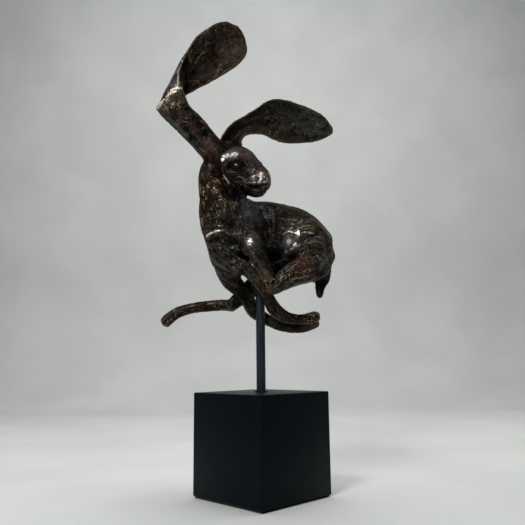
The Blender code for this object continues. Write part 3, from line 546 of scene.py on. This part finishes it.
def add_rings(figure, rings):
    """Adds a closed tube to the figure, from rings that have equally many points."""
    rows = [[figure.verts.new(point) for point in placed(ring)] for ring in rings]
    count = len(rows[0])
    for lower, upper in zip(rows, rows[1:]):
        for index in range(count):
            after = (index + 1) % count
            figure.faces.new((lower[index], lower[after], upper[after], upper[index]))
    return rows


def add_limb(figure, stations):
    """A solid form lofted through oval sections, with domed ends."""
    rows = eased(stations, STATION_STEPS)
    centres = rows[:, :3]
    along, side, up = limb_axes(rows)
    angles = np.linspace(0.0, 2.0 * math.pi, RING_POINTS, endpoint=False)

    def fuller(wave):
        return np.sign(wave) * np.abs(wave) ** OVAL_POWER

    def ring(index, scale, shift):
        tall, wide = rows[index, 3] * scale, rows[index, 4] * scale
        middle = centres[index] + along[index] * shift
        return (middle + np.outer(fuller(np.cos(angles)) * wide, side[index])
                + np.outer(fuller(np.sin(angles)) * tall, up[index]))

    domes = [math.radians(angle) for angle in DOME_ANGLES]
    reach = [min(rows[end, 3], rows[end, 4]) * DOME_SHARE for end in (0, -1)]
    rings = [ring(0, math.cos(angle), -reach[0] * math.sin(angle)) for angle in reversed(domes)]
    rings += [ring(index, 1.0, 0.0) for index in range(len(rows))]
    rings += [ring(-1, math.cos(angle), reach[1] * math.sin(angle)) for angle in domes]
    made = add_rings(figure, rings)
    for row, end, sign in ((made[0], 0, -1.0), (made[-1], -1, 1.0)):
        tip = figure.verts.new(placed(centres[end] + along[end] * reach[end] * sign))
        for index in range(RING_POINTS):
            pair = (row[index], row[(index + 1) % RING_POINTS])
            figure.faces.new((*pair[::int(sign)], tip))


def add_sheet(figure, stations, thickness, roundness):
    """A curved sheet between two edges, pushed back in the middle; roundness 0.5 makes half a round tube."""
    across = np.linspace(0.0, math.pi, SHEET_SAMPLES)
    rings = []
    for row in eased(stations, STATION_STEPS):
        left, right = row[:3], row[3:6]
        swing = -np.cos(across)
        depth = np.maximum(1.0 - swing ** 2, 0.0) ** roundness * row[6]
        points = (left + right) / 2 + np.outer(swing, (right - left) / 2) + np.outer(depth, SIDEWAYS)
        tangent = unit(np.gradient(points, axis=0))
        straight = unit(right - left)
        outward = unit(SIDEWAYS - straight * (straight @ SIDEWAYS))
        normal = unit(np.cross(np.cross(straight, outward), tangent))
        wall = thickness / 2 * (1.0 - RIM_THINNING * swing ** 4)
        rings.append(np.vstack([points + normal * wall[:, None], (points - normal * wall[:, None])[::-1]]))
    made = add_rings(figure, rings)
    for row, turn in ((made[0], -1), (made[-1], 1)):
        for index in range(SHEET_SAMPLES - 1):
            corners = (row[index], row[index + 1], row[-2 - index], row[-1 - index])
            figure.faces.new(corners[::turn])


def skin_of(mesh):
    """A searchable copy of the mesh's surface."""
    return BVHTree.FromPolygons([tuple(vertex.co) for vertex in mesh.vertices],
                                [tuple(face.vertices) for face in mesh.polygons])


def on_skin(skin, x, z, facing):
    """Where the skin is met at x, z of the figure when looked at from that side, in metres."""
    start = placed((x, MODULES_TALL * facing, z))
    hit = skin.ray_cast(Vector(start), Vector(SIDEWAYS * -facing))[0]
    if hit is None:
        hit = skin.find_nearest(Vector(placed((x, 0.0, z))))[0]
    return np.array(hit)


def points_and_normals(mesh):
    """The places and the normals of the mesh's points, a row for each."""
    count = len(mesh.vertices)
    points, normals = np.empty(count * 3), np.empty(count * 3)
    mesh.vertices.foreach_get("co", points)
    mesh.vertex_normals.foreach_get("vector", normals)
    return points.reshape(-1, 3), normals.reshape(-1, 3)


def distance_to_path(points, path):
    """How far each point lies from a path of straight stretches."""
    nearest = np.full(len(points), np.inf)
    for start, end in zip(path, path[1:]):
        reach = end - start
        share = np.clip(((points - start) @ reach) / max(reach @ reach, 1e-12), 0.0, 1.0)
        nearest = np.minimum(nearest, np.linalg.norm(points - start - share[:, None] * reach, axis=1))
    return nearest


def carve(mesh, skin, strokes):
    """Cuts grooves and raises folds: each stroke moves the surface along its normals."""
    points, normals = points_and_normals(mesh)
    offset = np.zeros(len(points))
    for label, side, half_width, depth, route in strokes:
        for facing in FACINGS[side]:
            path = np.array([on_skin(skin, x, z, facing) for x, z in eased(route, STATION_STEPS)])
            away = distance_to_path(points, path) / (half_width * MODULE * SOFT_EDGE)
            offset += depth * MODULE * np.exp(-away ** 2)
    mesh.vertices.foreach_set("co", (points + normals * offset[:, None]).ravel())
    mesh.update()


def add_laid_on(figure, skin):
    """Adds the small forms where the skin is met from their side."""
    for label, side, depth, route in LAID_ON:
        for facing in FACINGS[side]:
            stations = []
            for x, z, tall, wide in route:
                y = on_skin(skin, x, z, facing)[1] / MODULE
                stations.append((x, y - depth * facing, z, tall, wide))
            add_limb(figure, stations)


def filled(mesh, figure):
    """Writes the figure into the mesh, with its faces turned outward."""
    bmesh.ops.recalc_face_normals(figure, faces=figure.faces)
    figure.to_mesh(mesh)
    figure.free()


def fused(item, grain, passes):
    """Joins the overlapping forms of the object into one smooth skin."""
    skin = item.modifiers.new("one skin", "REMESH")
    skin.mode = "VOXEL"
    skin.voxel_size = grain * MODULE
    blend = item.modifiers.new("blend", "SMOOTH")
    blend.factor = 0.5
    blend.iterations = passes
    return evaluated_mesh(item)


def write_attribute(mesh, name, values):
    """Keeps one number or one vector for each point of the mesh."""
    several = values.ndim == 2
    layer = mesh.attributes.new(name, "FLOAT_VECTOR" if several else "FLOAT", "POINT")
    layer.data.foreach_set("vector" if several else "value", values.astype(np.float32).ravel())


def grain_of(points):
    """For each point of the casting: how far along its limb or ear it lies, and its place across it."""
    rows = [eased(stations, STATION_STEPS) for stations in LIMBS]
    for stations, wall, roundness in SHEETS:
        sheet = eased(stations, STATION_STEPS)
        middle = (sheet[:, :3] + sheet[:, 3:6]) / 2
        reach = np.linalg.norm(sheet[:, 3:6] - sheet[:, :3], axis=1) / 2
        rows.append(np.column_stack([middle, reach, reach]))
    best = np.full(len(points), np.inf)
    grain = np.zeros((len(points), 3))
    for number, limb in enumerate(rows):
        along, side, up = limb_axes(limb)
        centres = placed(limb[:, :3])
        radii = limb[:, 3:].mean(1) * MODULE
        travelled = np.r_[0.0, np.cumsum(np.linalg.norm(np.diff(centres, axis=0), axis=1))]
        for centre, radius, t, s, u, far in zip(centres, radii, along, side, up, travelled):
            away = points - centre
            share = np.linalg.norm(away, axis=1) / radius
            closer = share < best
            best[closer] = share[closer]
            near = away[closer]
            grain[closer] = np.column_stack([far + near @ t + number, near @ s, near @ u])
    return grain


def away_as_seen(points, x, z, radius):
    """How far each point lies from a place when seen from the side, in shares of the place's radius."""
    return np.linalg.norm((points - placed((x, 0.0, z)))[:, ::2], axis=1) / (radius * MODULE)


def mark_surface(mesh):
    """Writes the grain of the forms, and where the skin is calm, polished with painted highlights, gilded,
    dull, black with painted shade, or coloured by the patina and by painted sheen and shade.
    """
    skin = skin_of(mesh)
    points, normals = points_and_normals(mesh)
    write_attribute(mesh, "grain", grain_of(points))
    calm = np.ones(len(points))
    for x, z, radius, least in CALM_PLACES:
        rise = np.clip(away_as_seen(points, x, z, radius) ** 2 - CALM_CORE, 0.0, 1.0)
        calm = np.minimum(calm, least + (1.0 - least) * rise)
    write_attribute(mesh, "calm", calm)
    near_side = np.clip(0.5 - NEAR_SIDE_EDGE * normals[:, 1], 0.0, 1.0)
    for name, places in COVERS:
        cover = np.zeros(len(points))
        for x, z, radius, share in places:
            cover = np.maximum(cover, share * np.exp(-away_as_seen(points, x, z, radius) ** 2))
        cover *= near_side
        for radius, share, route in POLISHED_AND_HIGHLIGHT_LINES if name == "polish" else ():
            path = np.array([on_skin(skin, x, z, -1.0) for x, z in eased(route, STATION_STEPS)])
            away = distance_to_path(points, path) / (radius * MODULE)
            cover = np.maximum(cover, share * np.exp(-away ** 2))
        write_attribute(mesh, name, cover)
    shares, tints_and_painted_light = np.zeros(len(points)), np.zeros((len(points), 3))
    for x, z, radius, share, colour in PATINA_AND_PAINTED_LIGHT_ZONES:
        cover = share * np.exp(-away_as_seen(points, x, z, radius) ** 2) * near_side
        shares += cover
        tints_and_painted_light += cover[:, None] * np.array(linear(colour)[:3])
    write_attribute(mesh, "tint_and_painted_light", tints_and_painted_light / np.maximum(shares, 1e-6)[:, None])
    write_attribute(mesh, "tint_and_painted_light_share", np.minimum(shares, 1.0))


def raised_share(mesh, rounds):
    """How far each point stands out from its surroundings, over some rounds of neighbours, in metres."""
    points, normals = points_and_normals(mesh)
    ends = np.empty(len(mesh.edges) * 2, int)
    mesh.edges.foreach_get("vertices", ends)
    a, b = ends.reshape(-1, 2).T
    count = np.maximum(np.bincount(np.r_[a, b], minlength=len(points)), 1)

    def averaged(values):
        total = np.zeros_like(values)
        for column in range(values.shape[1]):
            total[:, column] = (np.bincount(a, values[b, column], len(points))
                                + np.bincount(b, values[a, column], len(points)))
        return total / count[:, None]

    settled = points
    for _ in range(rounds):
        settled = averaged(settled)
    height = (((points - settled) * normals).sum(1))[:, None]
    return averaged(averaged(height)).ravel()


# Tool marks on the skin, as geometry nodes


def tool_marks_tree():
    """Relief left by the modeller's tools: long strokes along each form, pressed dabs and fine wrinkles."""
    tree = bpy.data.node_groups.new("tool marks", "GeometryNodeTree")
    face = tree.interface
    face.new_socket("Geometry", in_out="INPUT", socket_type="NodeSocketGeometry")
    for label in ("Relief Depth", "Stroke Width", "Dab Size", "Seed"):
        face.new_socket(label, in_out="INPUT", socket_type="NodeSocketFloat")
    face.new_socket("Material", in_out="INPUT", socket_type="NodeSocketMaterial")
    face.new_socket("Geometry", in_out="OUTPUT", socket_type="NodeSocketGeometry")
    node = partial(add_node, tree)
    given = tree.nodes.new("NodeGroupInput").outputs
    grain = node("GeometryNodeInputNamedAttribute", "grain", data_type="FLOAT_VECTOR")
    calm = node("GeometryNodeInputNamedAttribute", "calm", data_type="FLOAT")
    polish = node("GeometryNodeInputNamedAttribute", "polish", data_type="FLOAT")
    place = node("GeometryNodeInputPosition")

    # Strokes follow the grain of the form, wrinkles wander, and both are ridges where the noise is middling
    drawn_out = node("stretch", grain, (STROKE_STRETCH, 1.0, 1.0))
    stroke_scale = node("divide", 1.0, given["Stroke Width"])
    strokes = node("noise", drawn_out, given["Seed"], stroke_scale, 1.0, Distortion=STROKE_WANDER)
    strokes = node("absolute", node("subtract", strokes, 0.5))
    strokes = node("subtract", 0.5, node("multiply", strokes, STROKE_STEEPNESS), use_clamp=True)
    dab_scale = node("divide", 1.0, given["Dab Size"])
    wrinkle_scale = node("multiply", dab_scale, WRINKLES_PER_DAB)
    wrinkles = node("noise", place, given["Seed"], wrinkle_scale, 1.0, Distortion=WRINKLE_WANDER)
    wrinkles = node("absolute", node("subtract", wrinkles, 0.5))
    wrinkles = node("subtract", 1.0, node("multiply", wrinkles, WRINKLE_STEEPNESS), use_clamp=True)
    ridges = node("multiply", node("maximum", strokes, wrinkles), RIDGE_HEIGHT)

    # Dabs are soft swellings, and stand out more in the polished places, where highlights are painted
    dabs = node("noise", place, given["Seed"], dab_scale, 1.0, Distortion=DAB_WANDER)
    dab_height = node("add", DAB_HEIGHT, node("multiply", polish, POLISHED_AND_HIGHLIGHT_DAB_HEIGHT))
    dabs = node("multiply", node("subtract", dabs, 0.5), dab_height)
    total = node("add", node("subtract", ridges, RIDGE_SINK), dabs)
    total = node("multiply", node("multiply", total, calm), given["Relief Depth"])
    offset = node("ShaderNodeVectorMath", node("GeometryNodeInputNormal"), total, operation="SCALE")
    moved = node("GeometryNodeSetPosition", given["Geometry"], Offset=offset)
    real = node("GeometryNodeRealizeInstances", moved)
    node("NodeGroupOutput", node("GeometryNodeSetMaterial", real, Material=given["Material"]))
    return tree


def run_tree(item, tree, values):
    """Gives the object the tree with these inputs and bakes the result into its mesh."""
    step = item.modifiers.new(tree.name, "NODES")
    step.node_group = tree
    for socket in tree.interface.items_tree:
        if socket.in_out == "INPUT" and socket.name in values:
            step[socket.identifier] = values[socket.name]
    return evaluated_mesh(item)


# Finishes; a noise takes coordinates, a seed, a scale and how many finer layers lie on it


def patinated_bronze(dark, warm, rubbed):
    """Lost-wax cast bronze under a hot-applied dark brown patina and wax. The eye sees a near-black skin that
    drifts between plum and olive, scratched and rubbed back to golden metal, with soft wax highlights, and
    with highlights, sheen and shade painted into its colour."""
    made, node, place = new_finish("cast bronze, dark brown patina")
    raised, deep, calm, tint_and_painted_light_share, polish, gilding, black, dull = [
        node("ShaderNodeAttribute", attribute_name=name, outlet="Fac")
        for name in ("raised", "deep", "calm", "tint_and_painted_light_share", "polish", "gilding", "black", "dull")]
    grain, tint_and_painted_light = [
        node("ShaderNodeAttribute", attribute_name=name, outlet="Vector") for name in ("grain", "tint_and_painted_light")]
    drawn_out = node("stretch", grain, (STREAK_STRETCH, 1.0, 1.0))

    # The patina drifts in clouds, takes colours of its own and painted sheen and shade in its zones, and is
    # veined with black
    drift = node("ramp", node("noise", place, 2.0, every_mm(26.0)), 0.43, 0.57)
    cloud = node("ramp", node("noise", place, 5.0, every_mm(9.0), 3.0), 0.44, 0.68)
    uneven = node("ramp", node("noise", place, 17.0, every_mm(5.0), 3.0), 0.35, 0.6, 0.45, 1.0)
    veins = node("ramp", node("noise", place, 31.0, every_mm(7.0), 3.0), 0.38, 0.48, 0.75, 0.0)
    skin = node("blend", drift, dark, "#0a0d09")
    skin = node("blend", node("multiply", cloud, 0.6), skin, warm)
    skin = node("blend", node("multiply", tint_and_painted_light_share, uneven), skin, tint_and_painted_light)
    skin = node("blend", veins, skin, "#040304")

    # It is thinner on crests, from 0.08 mm above their surroundings, and on the ridges of fine wrinkles
    crest = node("ramp", raised, 0.00008, 0.00040)
    skin = node("blend", node("multiply", crest, 0.4), skin, "#4a3929")
    wander = node("noise", place, 0.0, every_mm(5.4), 0.4, Distortion=1.3)
    wander = node("absolute", node("subtract", wander, 0.5))
    drawn = node("noise", drawn_out, 6.0, every_mm(3.4), 1.0, Distortion=0.3)
    along = node("multiply", node("ramp", drawn, 0.50, 0.64), node("ramp", dull, 0.0, 0.8, 1.0, 0.2))
    ridge = node("maximum", node("ramp", wander, 0.0, 0.07, 1.0, 0.0), along)
    ridge = node("multiply", ridge, calm)
    skin = node("blend", node("multiply", ridge, 0.06), skin, "#6a5842")

    # Squiggles, and streaks along the form, are scratched through to the metal in broken patches
    bare = node("multiply", gilding, 0.10)
    squiggle = node("ramp", wander, 0.006, 0.030, 1.0, 0.0)
    patches = node("ramp", node("add", node("noise", place, 9.0, every_mm(14.0)), bare), 0.52, 0.60)
    streak = node("ramp", node("noise", drawn_out, 4.0, every_mm(1.9), 1.0, Distortion=0.2), 0.60, 0.67)
    streak_patches = node("ramp", node("add", node("noise", place, 7.0, every_mm(19.0)), bare), 0.52, 0.62)
    broken = node("ramp", node("noise", place, 15.0, every_mm(4.0), 1.0), 0.34, 0.46, 0.25, 1.0)
    marks = node("maximum", node("multiply", squiggle, patches), node("multiply", streak, streak_patches))
    marks = node("multiply", node("multiply", marks, broken), calm)
    marks = node("multiply", marks, node("add", 0.16, gilding, use_clamp=True))

    # Hollows, from 0.05 mm below their surroundings, deeper recesses and covered places are darkened towards
    # black: patina kept dark there, and painted shade
    hollow = node("ramp", raised, -0.00035, -0.00005, 1.0, 0.0)
    recess = node("maximum", node("ramp", deep, -0.0022, 0.0, 1.0, 0.0), black)
    clear_of_shade_and_dark_patina = node("subtract", 1.0, node("maximum", node("multiply", hollow, 0.7), recess))

    # Metal shows in the scratches and in traces on the crests; the polished places are painted bright in
    # cream and bluish white as highlights
    speckle = node("ramp", node("noise", place, 19.0, every_mm(3.2)), 0.38, 0.50, 0.76, 1.0)
    polish = node("multiply", polish, speckle)
    painted_highlight = node("ramp", polish, 0.6, 0.95)
    worn_and_highlight = node("maximum", node("multiply", marks, 0.9), node("multiply", crest, 0.08))
    worn_and_highlight = node("maximum", worn_and_highlight, node("multiply", polish, 0.08))
    worn_and_highlight = node("multiply", node("maximum", worn_and_highlight, painted_highlight), clear_of_shade_and_dark_patina, use_clamp=True)
    reddish = node("ramp", node("noise", place, 21.0, every_mm(36.0)), 0.47, 0.57)
    highlight_hue = node("ramp", node("noise", place, 23.0, every_mm(11.0)), 0.46, 0.56)
    metal = node("blend", reddish, rubbed, "#8c5f48")
    # Painted highlight: pale cream and bluish-white metal, varying from place to place, in the polished
    # places
    metal = node("blend", painted_highlight, metal, node("blend", highlight_hue, "#e8dcc8", "#d2d4dc"))
    colour = node("blend", worn_and_highlight, skin, metal)
    # Painted shade and dark patina: near-black in the hollows, the recesses and the black places
    colour = node("blend", node("multiply", node("maximum", hollow, recess), 0.8), colour, "#040404")
    metallic = node("ramp", polish, 0.6, 0.9, 0.1, 0.3)
    metallic = node("add", metallic, node("multiply", worn_and_highlight, 0.3), use_clamp=True)

    # Wax lies on what the cloth reaches, less in the veins and hardly in the dull places
    waxed = node("multiply", clear_of_shade_and_dark_patina, node("ramp", dull, 0.0, 0.8, 1.0, 0.05))
    waxed = node("multiply", waxed, node("ramp", veins, 0.0, 1.0, 1.0, 0.4))
    shine = node("add", 0.10, node("multiply", ridge, 0.28))
    coat = node("add", shine, node("multiply", polish, 0.6))

    # The mould's grit is about 0.3 mm on the real casting, and is drawn at 1.6 mm so that it shows
    grit = node("noise", place, 12.0, every_mm(1.6))
    height = node("add", node("multiply", marks, 0.3), node("multiply", grit, 0.3))
    height = node("add", height, node("multiply", ridge, 0.8))
    bump = node("ShaderNodeBump", Height=height, Strength=0.7, Distance=0.0008)
    finish_surface(node, {
        "Base Color": colour, "Metallic": metallic, "Roughness": 0.40, "Normal": bump, "Coat Normal": bump,
        "Specular IOR Level": node("multiply", waxed, shine), "Coat Weight": node("multiply", waxed, coat),
        "Coat Roughness": 0.16})
    return made


def blackened_steel(colour):
    """Drawn mild steel, chemically blackened and oiled. The eye sees a dark blue-grey satin with faint
    drawing lines, which are about 0.1 mm apart on real steel and are drawn at 0.8 mm so that they show."""
    made, node, place = new_finish("blackened steel")
    drawn = node("ShaderNodeMapping", Vector=place, Scale=(1.0, 1.0, 0.03))
    lines = node("noise", drawn, 3.0, every_mm(0.8), 1.0)
    shade = node("blend", node("ramp", lines, 0.35, 0.65, 0.0, 0.5), colour, "#454e58")
    finish_surface(node, {"Base Color": shade, "Metallic": 0.7,
                          "Roughness": node("ramp", lines, 0.3, 0.7, 0.27, 0.38)})
    return made


def black_lacquer(colour):
    """Wood block under sprayed black satin lacquer. The eye sees an even, slightly blue-green black
    with a faint orange-peel softness in its reflections."""
    made, node, place = new_finish("sprayed black satin lacquer")
    peel = node("noise", place, 6.0, every_mm(1.8), 1.0)
    clouding = node("noise", place, 8.0, every_mm(24.0))
    finish_surface(node, {
        "Base Color": colour, "Roughness": node("ramp", clouding, 0.3, 0.7, 0.40, 0.47),
        "Specular IOR Level": 0.09,
        "Normal": node("ShaderNodeBump", Height=peel, Strength=0.08, Distance=0.0002)})
    return made


def studio_paint(colour, mottle):
    """Rolled matt paint. The eye sees a plain, faintly uneven pale grey."""
    made, node, place = new_finish("pale studio paint")
    cloud = node("ramp", node("noise", place, 0.0, every_mm(180.0), 3.0), 0.3, 0.7)
    finish_surface(node, {"Base Color": node("blend", cloud, colour, mottle), "Roughness": 0.85})
    return made


# Sizes and colours that a user would change


def colour_setting(name, description, default):
    """A colour that the user can change, given in hex."""
    return FloatVectorProperty(name=name, description=description, default=linear(default), subtype="COLOR",
                               size=4, min=0.0, max=1.0)


def length_setting(name, description, default, least=0.0):
    """A size in metres that the user can change."""
    return FloatProperty(name=name, description=description, default=default, min=least, unit="LENGTH",
                         precision=5)


class CastingSettings(bpy.types.PropertyGroup):
    patina: colour_setting("Patina", "Colour of the dark patina", "#0f0b0a")
    warm_patina: colour_setting("Warm Patina", "Colour of the patina's warmer clouds", "#20160f")
    rubbed_metal: colour_setting("Rubbed Metal", "Colour of the metal in the scratches", "#b39c74")
    skin_grain: length_setting("Skin Grain", "Size of the smallest facet of the casting", 0.0009, 0.0006)
    facets: IntProperty(name="Facets", description="How many triangles the casting is made of",
                        default=190000, min=20000)
    relief_depth: length_setting("Relief Depth", "Height of the tool marks above the hollows", 0.0007)
    stroke_width: length_setting("Stroke Width", "Distance between the long strokes", 0.0052, 0.001)
    dab_size: length_setting("Dab Size", "Distance between the pressed dabs", 0.0085, 0.001)
    seed: FloatProperty(name="Seed", description="Picks one of the possible patterns of marks", default=3.0)


class RodSettings(bpy.types.PropertyGroup):
    steel: colour_setting("Steel", "Colour of the blackened steel", "#2e363e")
    collar_height: length_setting("Collar Height", "Height of the collar on the block", 0.0012)
    edge: length_setting("Edge", "Width of the broken edges", 0.0004)


class BlockSettings(bpy.types.PropertyGroup):
    lacquer: colour_setting("Lacquer", "Colour of the lacquer", "#050d12")
    foot_chamfer: length_setting("Foot Chamfer", "Width of the chamfer along the foot", 0.0025)
    edge_round: length_setting("Edge Round", "Radius of the other edges", 0.0008)


class StudioSettings(bpy.types.PropertyGroup):
    paint: colour_setting("Paint", "Colour of the floor and the wall", "#c0c2c0")
    mottle: colour_setting("Mottle", "Colour of the paint's lighter clouds", "#c8cac8")
    key_power: FloatProperty(name="Key Power", description="Power of the large soft light at the upper left",
                             default=KEY_POWER, min=0.0, unit="POWER")
    wall_distance: length_setting("Wall Distance", "How far the wall stands behind the block", 1.5, 1.0)


# Operators, one for each piece and one for the studio


class HARE_OT_cast(bpy.types.Operator):
    """Builds the patinated bronze hare and hangs it in place of the CAD hare"""
    bl_idname = "hare.cast"
    bl_label = "Cast the Hare"

    def execute(self, context):
        wanted = context.scene.hare_casting
        bronze = patinated_bronze(wanted.patina, wanted.warm_patina, wanted.rubbed_metal)
        hare = collected(bpy.data.meshes.new("hare_casting"), "hare_casting", bronze)
        figure = bmesh.new()
        for stations in LIMBS:
            add_limb(figure, stations)
        for stations, wall, roundness in SHEETS:
            add_sheet(figure, stations, wall, roundness)
        filled(hare.data, figure)
        mesh = fused(hare, BODY_GRAIN, BODY_SMOOTHING)
        carve(mesh, skin_of(mesh), STROKES)
        figure = bmesh.new()
        figure.from_mesh(mesh)
        add_laid_on(figure, skin_of(mesh))
        filled(mesh, figure)
        mesh = fused(hare, wanted.skin_grain / MODULE, FEATURE_SMOOTHING)
        fewer = hare.modifiers.new("facets", "DECIMATE")
        fewer.ratio = min(1.0, wanted.facets / sum(len(face.vertices) - 2 for face in mesh.polygons))
        mark_surface(evaluated_mesh(hare))
        mesh = run_tree(hare, tool_marks_tree(), {
            "Relief Depth": wanted.relief_depth, "Stroke Width": wanted.stroke_width,
            "Dab Size": wanted.dab_size, "Seed": wanted.seed, "Material": bronze})
        write_attribute(mesh, "raised", raised_share(mesh, CREST_ROUNDS))
        write_attribute(mesh, "deep", raised_share(mesh, RECESS_ROUNDS))
        mesh.shade_smooth()
        ride_as(hare, "hare")
        return {"FINISHED"}


class HARE_OT_rod(bpy.types.Operator):
    """Turns the blackened steel rod with its low collar"""
    bl_idname = "hare.rod"
    bl_label = "Turn the Rod"

    def execute(self, context):
        wanted = context.scene.hare_rod
        top, foot = ROD_HIGH[2], ROD_LOW[2]
        seat = PLINTH_HIGH[2] + SEAT_GAP
        shoulder = seat + wanted.collar_height
        radius, rim, edge = ROD_RADIUS, COLLAR_RADIUS, wanted.edge
        profile = ((0.0, top), (radius - edge, top), (radius, top - edge), (radius, shoulder),
                   (rim - edge, shoulder), (rim, shoulder - edge), (rim, seat), (radius, seat),
                   (radius, foot + edge), (radius - edge, foot), (0.0, foot))
        mesh = bpy.data.meshes.new("steel_rod")
        lines = [(index, index + 1) for index in range(len(profile) - 1)]
        mesh.from_pydata([(x, 0.0, z) for x, z in profile], lines, [])
        rod = collected(mesh, "steel_rod", blackened_steel(wanted.steel))
        spin = rod.modifiers.new("turned", "SCREW")
        spin.steps = spin.render_steps = ROUND_SIDES
        spin.use_merge_vertices = True
        spin.merge_threshold = MERGE_DISTANCE
        mesh = evaluated_mesh(rod)
        figure = bmesh.new()
        figure.from_mesh(mesh)
        filled(mesh, figure)
        mesh.shade_smooth()
        mesh.set_sharp_from_angle(angle=ROD_SHARP_ANGLE)
        ride_as(rod, "rod")
        return {"FINISHED"}


class HARE_OT_block(bpy.types.Operator):
    """Builds the black lacquered block with its chamfered foot"""
    bl_idname = "hare.block"
    bl_label = "Lacquer the Block"

    def execute(self, context):
        wanted = context.scene.hare_block
        low, high = PLINTH_LOW[2], PLINTH_HIGH[2]
        side = (PLINTH_HIGH[0] - PLINTH_LOW[0]) / math.sqrt(2.0) + wanted.edge_round * CORNER_LOSS
        figure = bmesh.new()
        bmesh.ops.create_cube(figure, size=1.0, matrix=Matrix.Translation((0.0, 0.0, (low + high) / 2))
                              @ Matrix.Rotation(BLOCK_TURN, 4, "Z")
                              @ Matrix.Diagonal((side, side, high - low, 1.0)))
        foot = [edge for edge in figure.edges if all(v.co.z < (low + high) / 2 for v in edge.verts)]
        bmesh.ops.bevel(figure, geom=foot, offset=wanted.foot_chamfer, segments=1, profile=0.5,
                        affect="EDGES")

        def is_rim_or_upright(edge):
            rise = abs(edge.verts[0].co.z - edge.verts[1].co.z)
            return edge.calc_face_angle() > BLOCK_RIM_ANGLE or rise > (high - low) / 10

        rest = [edge for edge in figure.edges if is_rim_or_upright(edge)]
        bmesh.ops.bevel(figure, geom=rest, offset=wanted.edge_round, segments=3, profile=0.5,
                        affect="EDGES")
        mesh = bpy.data.meshes.new("lacquered_block")
        filled(mesh, figure)
        block = collected(mesh, "lacquered_block", black_lacquer(wanted.lacquer))
        mesh.shade_smooth()
        mesh.set_sharp_from_angle(angle=BLOCK_SHARP_ANGLE)
        ride_as(block, "plinth")
        return {"FINISHED"}


class HARE_OT_studio(bpy.types.Operator):
    """Sets the pale floor and wall, the soft lights and the camera"""
    bl_idname = "hare.studio"
    bl_label = "Set the Studio"

    def execute(self, context):
        wanted = context.scene.hare_studio
        scene = context.scene
        staged = [painted_sweep(wanted)]
        for name, power, size, place, aim, mirrored in LAMPS:
            lamp = bpy.data.lights.new(name, "AREA")
            lamp.energy, lamp.size = wanted.key_power if name == "key" else power, size
            holder = bpy.data.objects.new(name, lamp)
            scene.collection.objects.link(holder)
            holder.location = place
            holder.visible_camera = False
            holder.visible_glossy = mirrored
            holder.rotation_euler = (Vector(aim) - Vector(place)).to_track_quat("-Z", "Y").to_euler()
            staged.append(holder)
        scene.world = bpy.data.worlds.new("studio air")
        scene.world.use_nodes = True
        air = scene.world.node_tree.nodes["Background"].inputs
        air["Color"].default_value, air["Strength"].default_value = linear(AIR_COLOUR), AIR_STRENGTH
        scene.view_settings.view_transform = "Standard"
        camera = bpy.data.objects.new("camera", bpy.data.cameras.new("camera"))
        camera.data.lens, camera.data.sensor_width = CAMERA_LENS_MM, CAMERA_SENSOR_MM
        camera.data.clip_start, camera.data.clip_end = CAMERA_CLIP
        camera.matrix_world = (Matrix.Translation(CAMERA_PLACE) @ Matrix.Rotation(CAMERA_PAN, 4, "Z")
                               @ Matrix.Rotation(math.radians(90.0) + CAMERA_PITCH, 4, "X")
                               @ Matrix.Rotation(CAMERA_ROLL, 4, "Z"))
        scene.collection.objects.link(camera)
        scene.camera = camera
        return {"FINISHED"}


def painted_sweep(wanted):
    """The floor that bends up into the wall."""
    wall, bend = wanted.wall_distance, SWEEP_BEND
    turn = [math.radians(angle) for angle in range(0, 91, 6)]
    curve = [(wall - bend + bend * math.sin(a), bend - bend * math.cos(a)) for a in turn]
    line = [(SWEEP_FRONT, 0.0), *curve, (wall, SWEEP_TOP)]
    figure = bmesh.new()
    rows = [[figure.verts.new((x, y, z)) for y, z in line] for x in (-SWEEP_HALF_WIDTH, SWEEP_HALF_WIDTH)]
    for index in range(len(line) - 1):
        figure.faces.new((rows[0][index], rows[1][index], rows[1][index + 1], rows[0][index + 1]))
    mesh = bpy.data.meshes.new("studio_sweep")
    figure.to_mesh(mesh)
    figure.free()
    mesh.shade_smooth()
    return collected(mesh, "studio_sweep", studio_paint(wanted.paint, wanted.mottle))


class HARE_PT_panel(bpy.types.Panel):
    """Lists the pieces and the studio, each with its sizes and colours"""
    bl_idname = "HARE_PT_panel"
    bl_label = "Hare Sculpture"
    bl_space_type = "VIEW_3D"
    bl_region_type = "UI"
    bl_category = "Hare"

    def draw(self, context):
        for operator, group, name in STEPS:
            box = self.layout.box()
            box.operator(operator.bl_idname)
            for setting in group.__annotations__:
                box.prop(getattr(context.scene, name), setting)


STEPS = (
    (HARE_OT_cast, CastingSettings, "hare_casting"), (HARE_OT_rod, RodSettings, "hare_rod"),
    (HARE_OT_block, BlockSettings, "hare_block"), (HARE_OT_studio, StudioSettings, "hare_studio"),
)


def register():
    """Makes the settings, the operators and the panel known to Blender."""
    for operator, group, name in STEPS:
        bpy.utils.register_class(group)
        setattr(bpy.types.Scene, name, PointerProperty(type=group))
        bpy.utils.register_class(operator)
    bpy.utils.register_class(HARE_PT_panel)


def unregister():
    """Takes them all away again."""
    bpy.utils.unregister_class(HARE_PT_panel)
    for operator, group, name in reversed(STEPS):
        bpy.utils.unregister_class(operator)
        delattr(bpy.types.Scene, name)
        bpy.utils.unregister_class(group)


def main():
    """Builds the pieces and the studio."""
    register()
    bpy.ops.hare.cast()
    bpy.ops.hare.rod()
    bpy.ops.hare.block()
    bpy.ops.hare.studio()


if __name__ == "__main__":
    main()
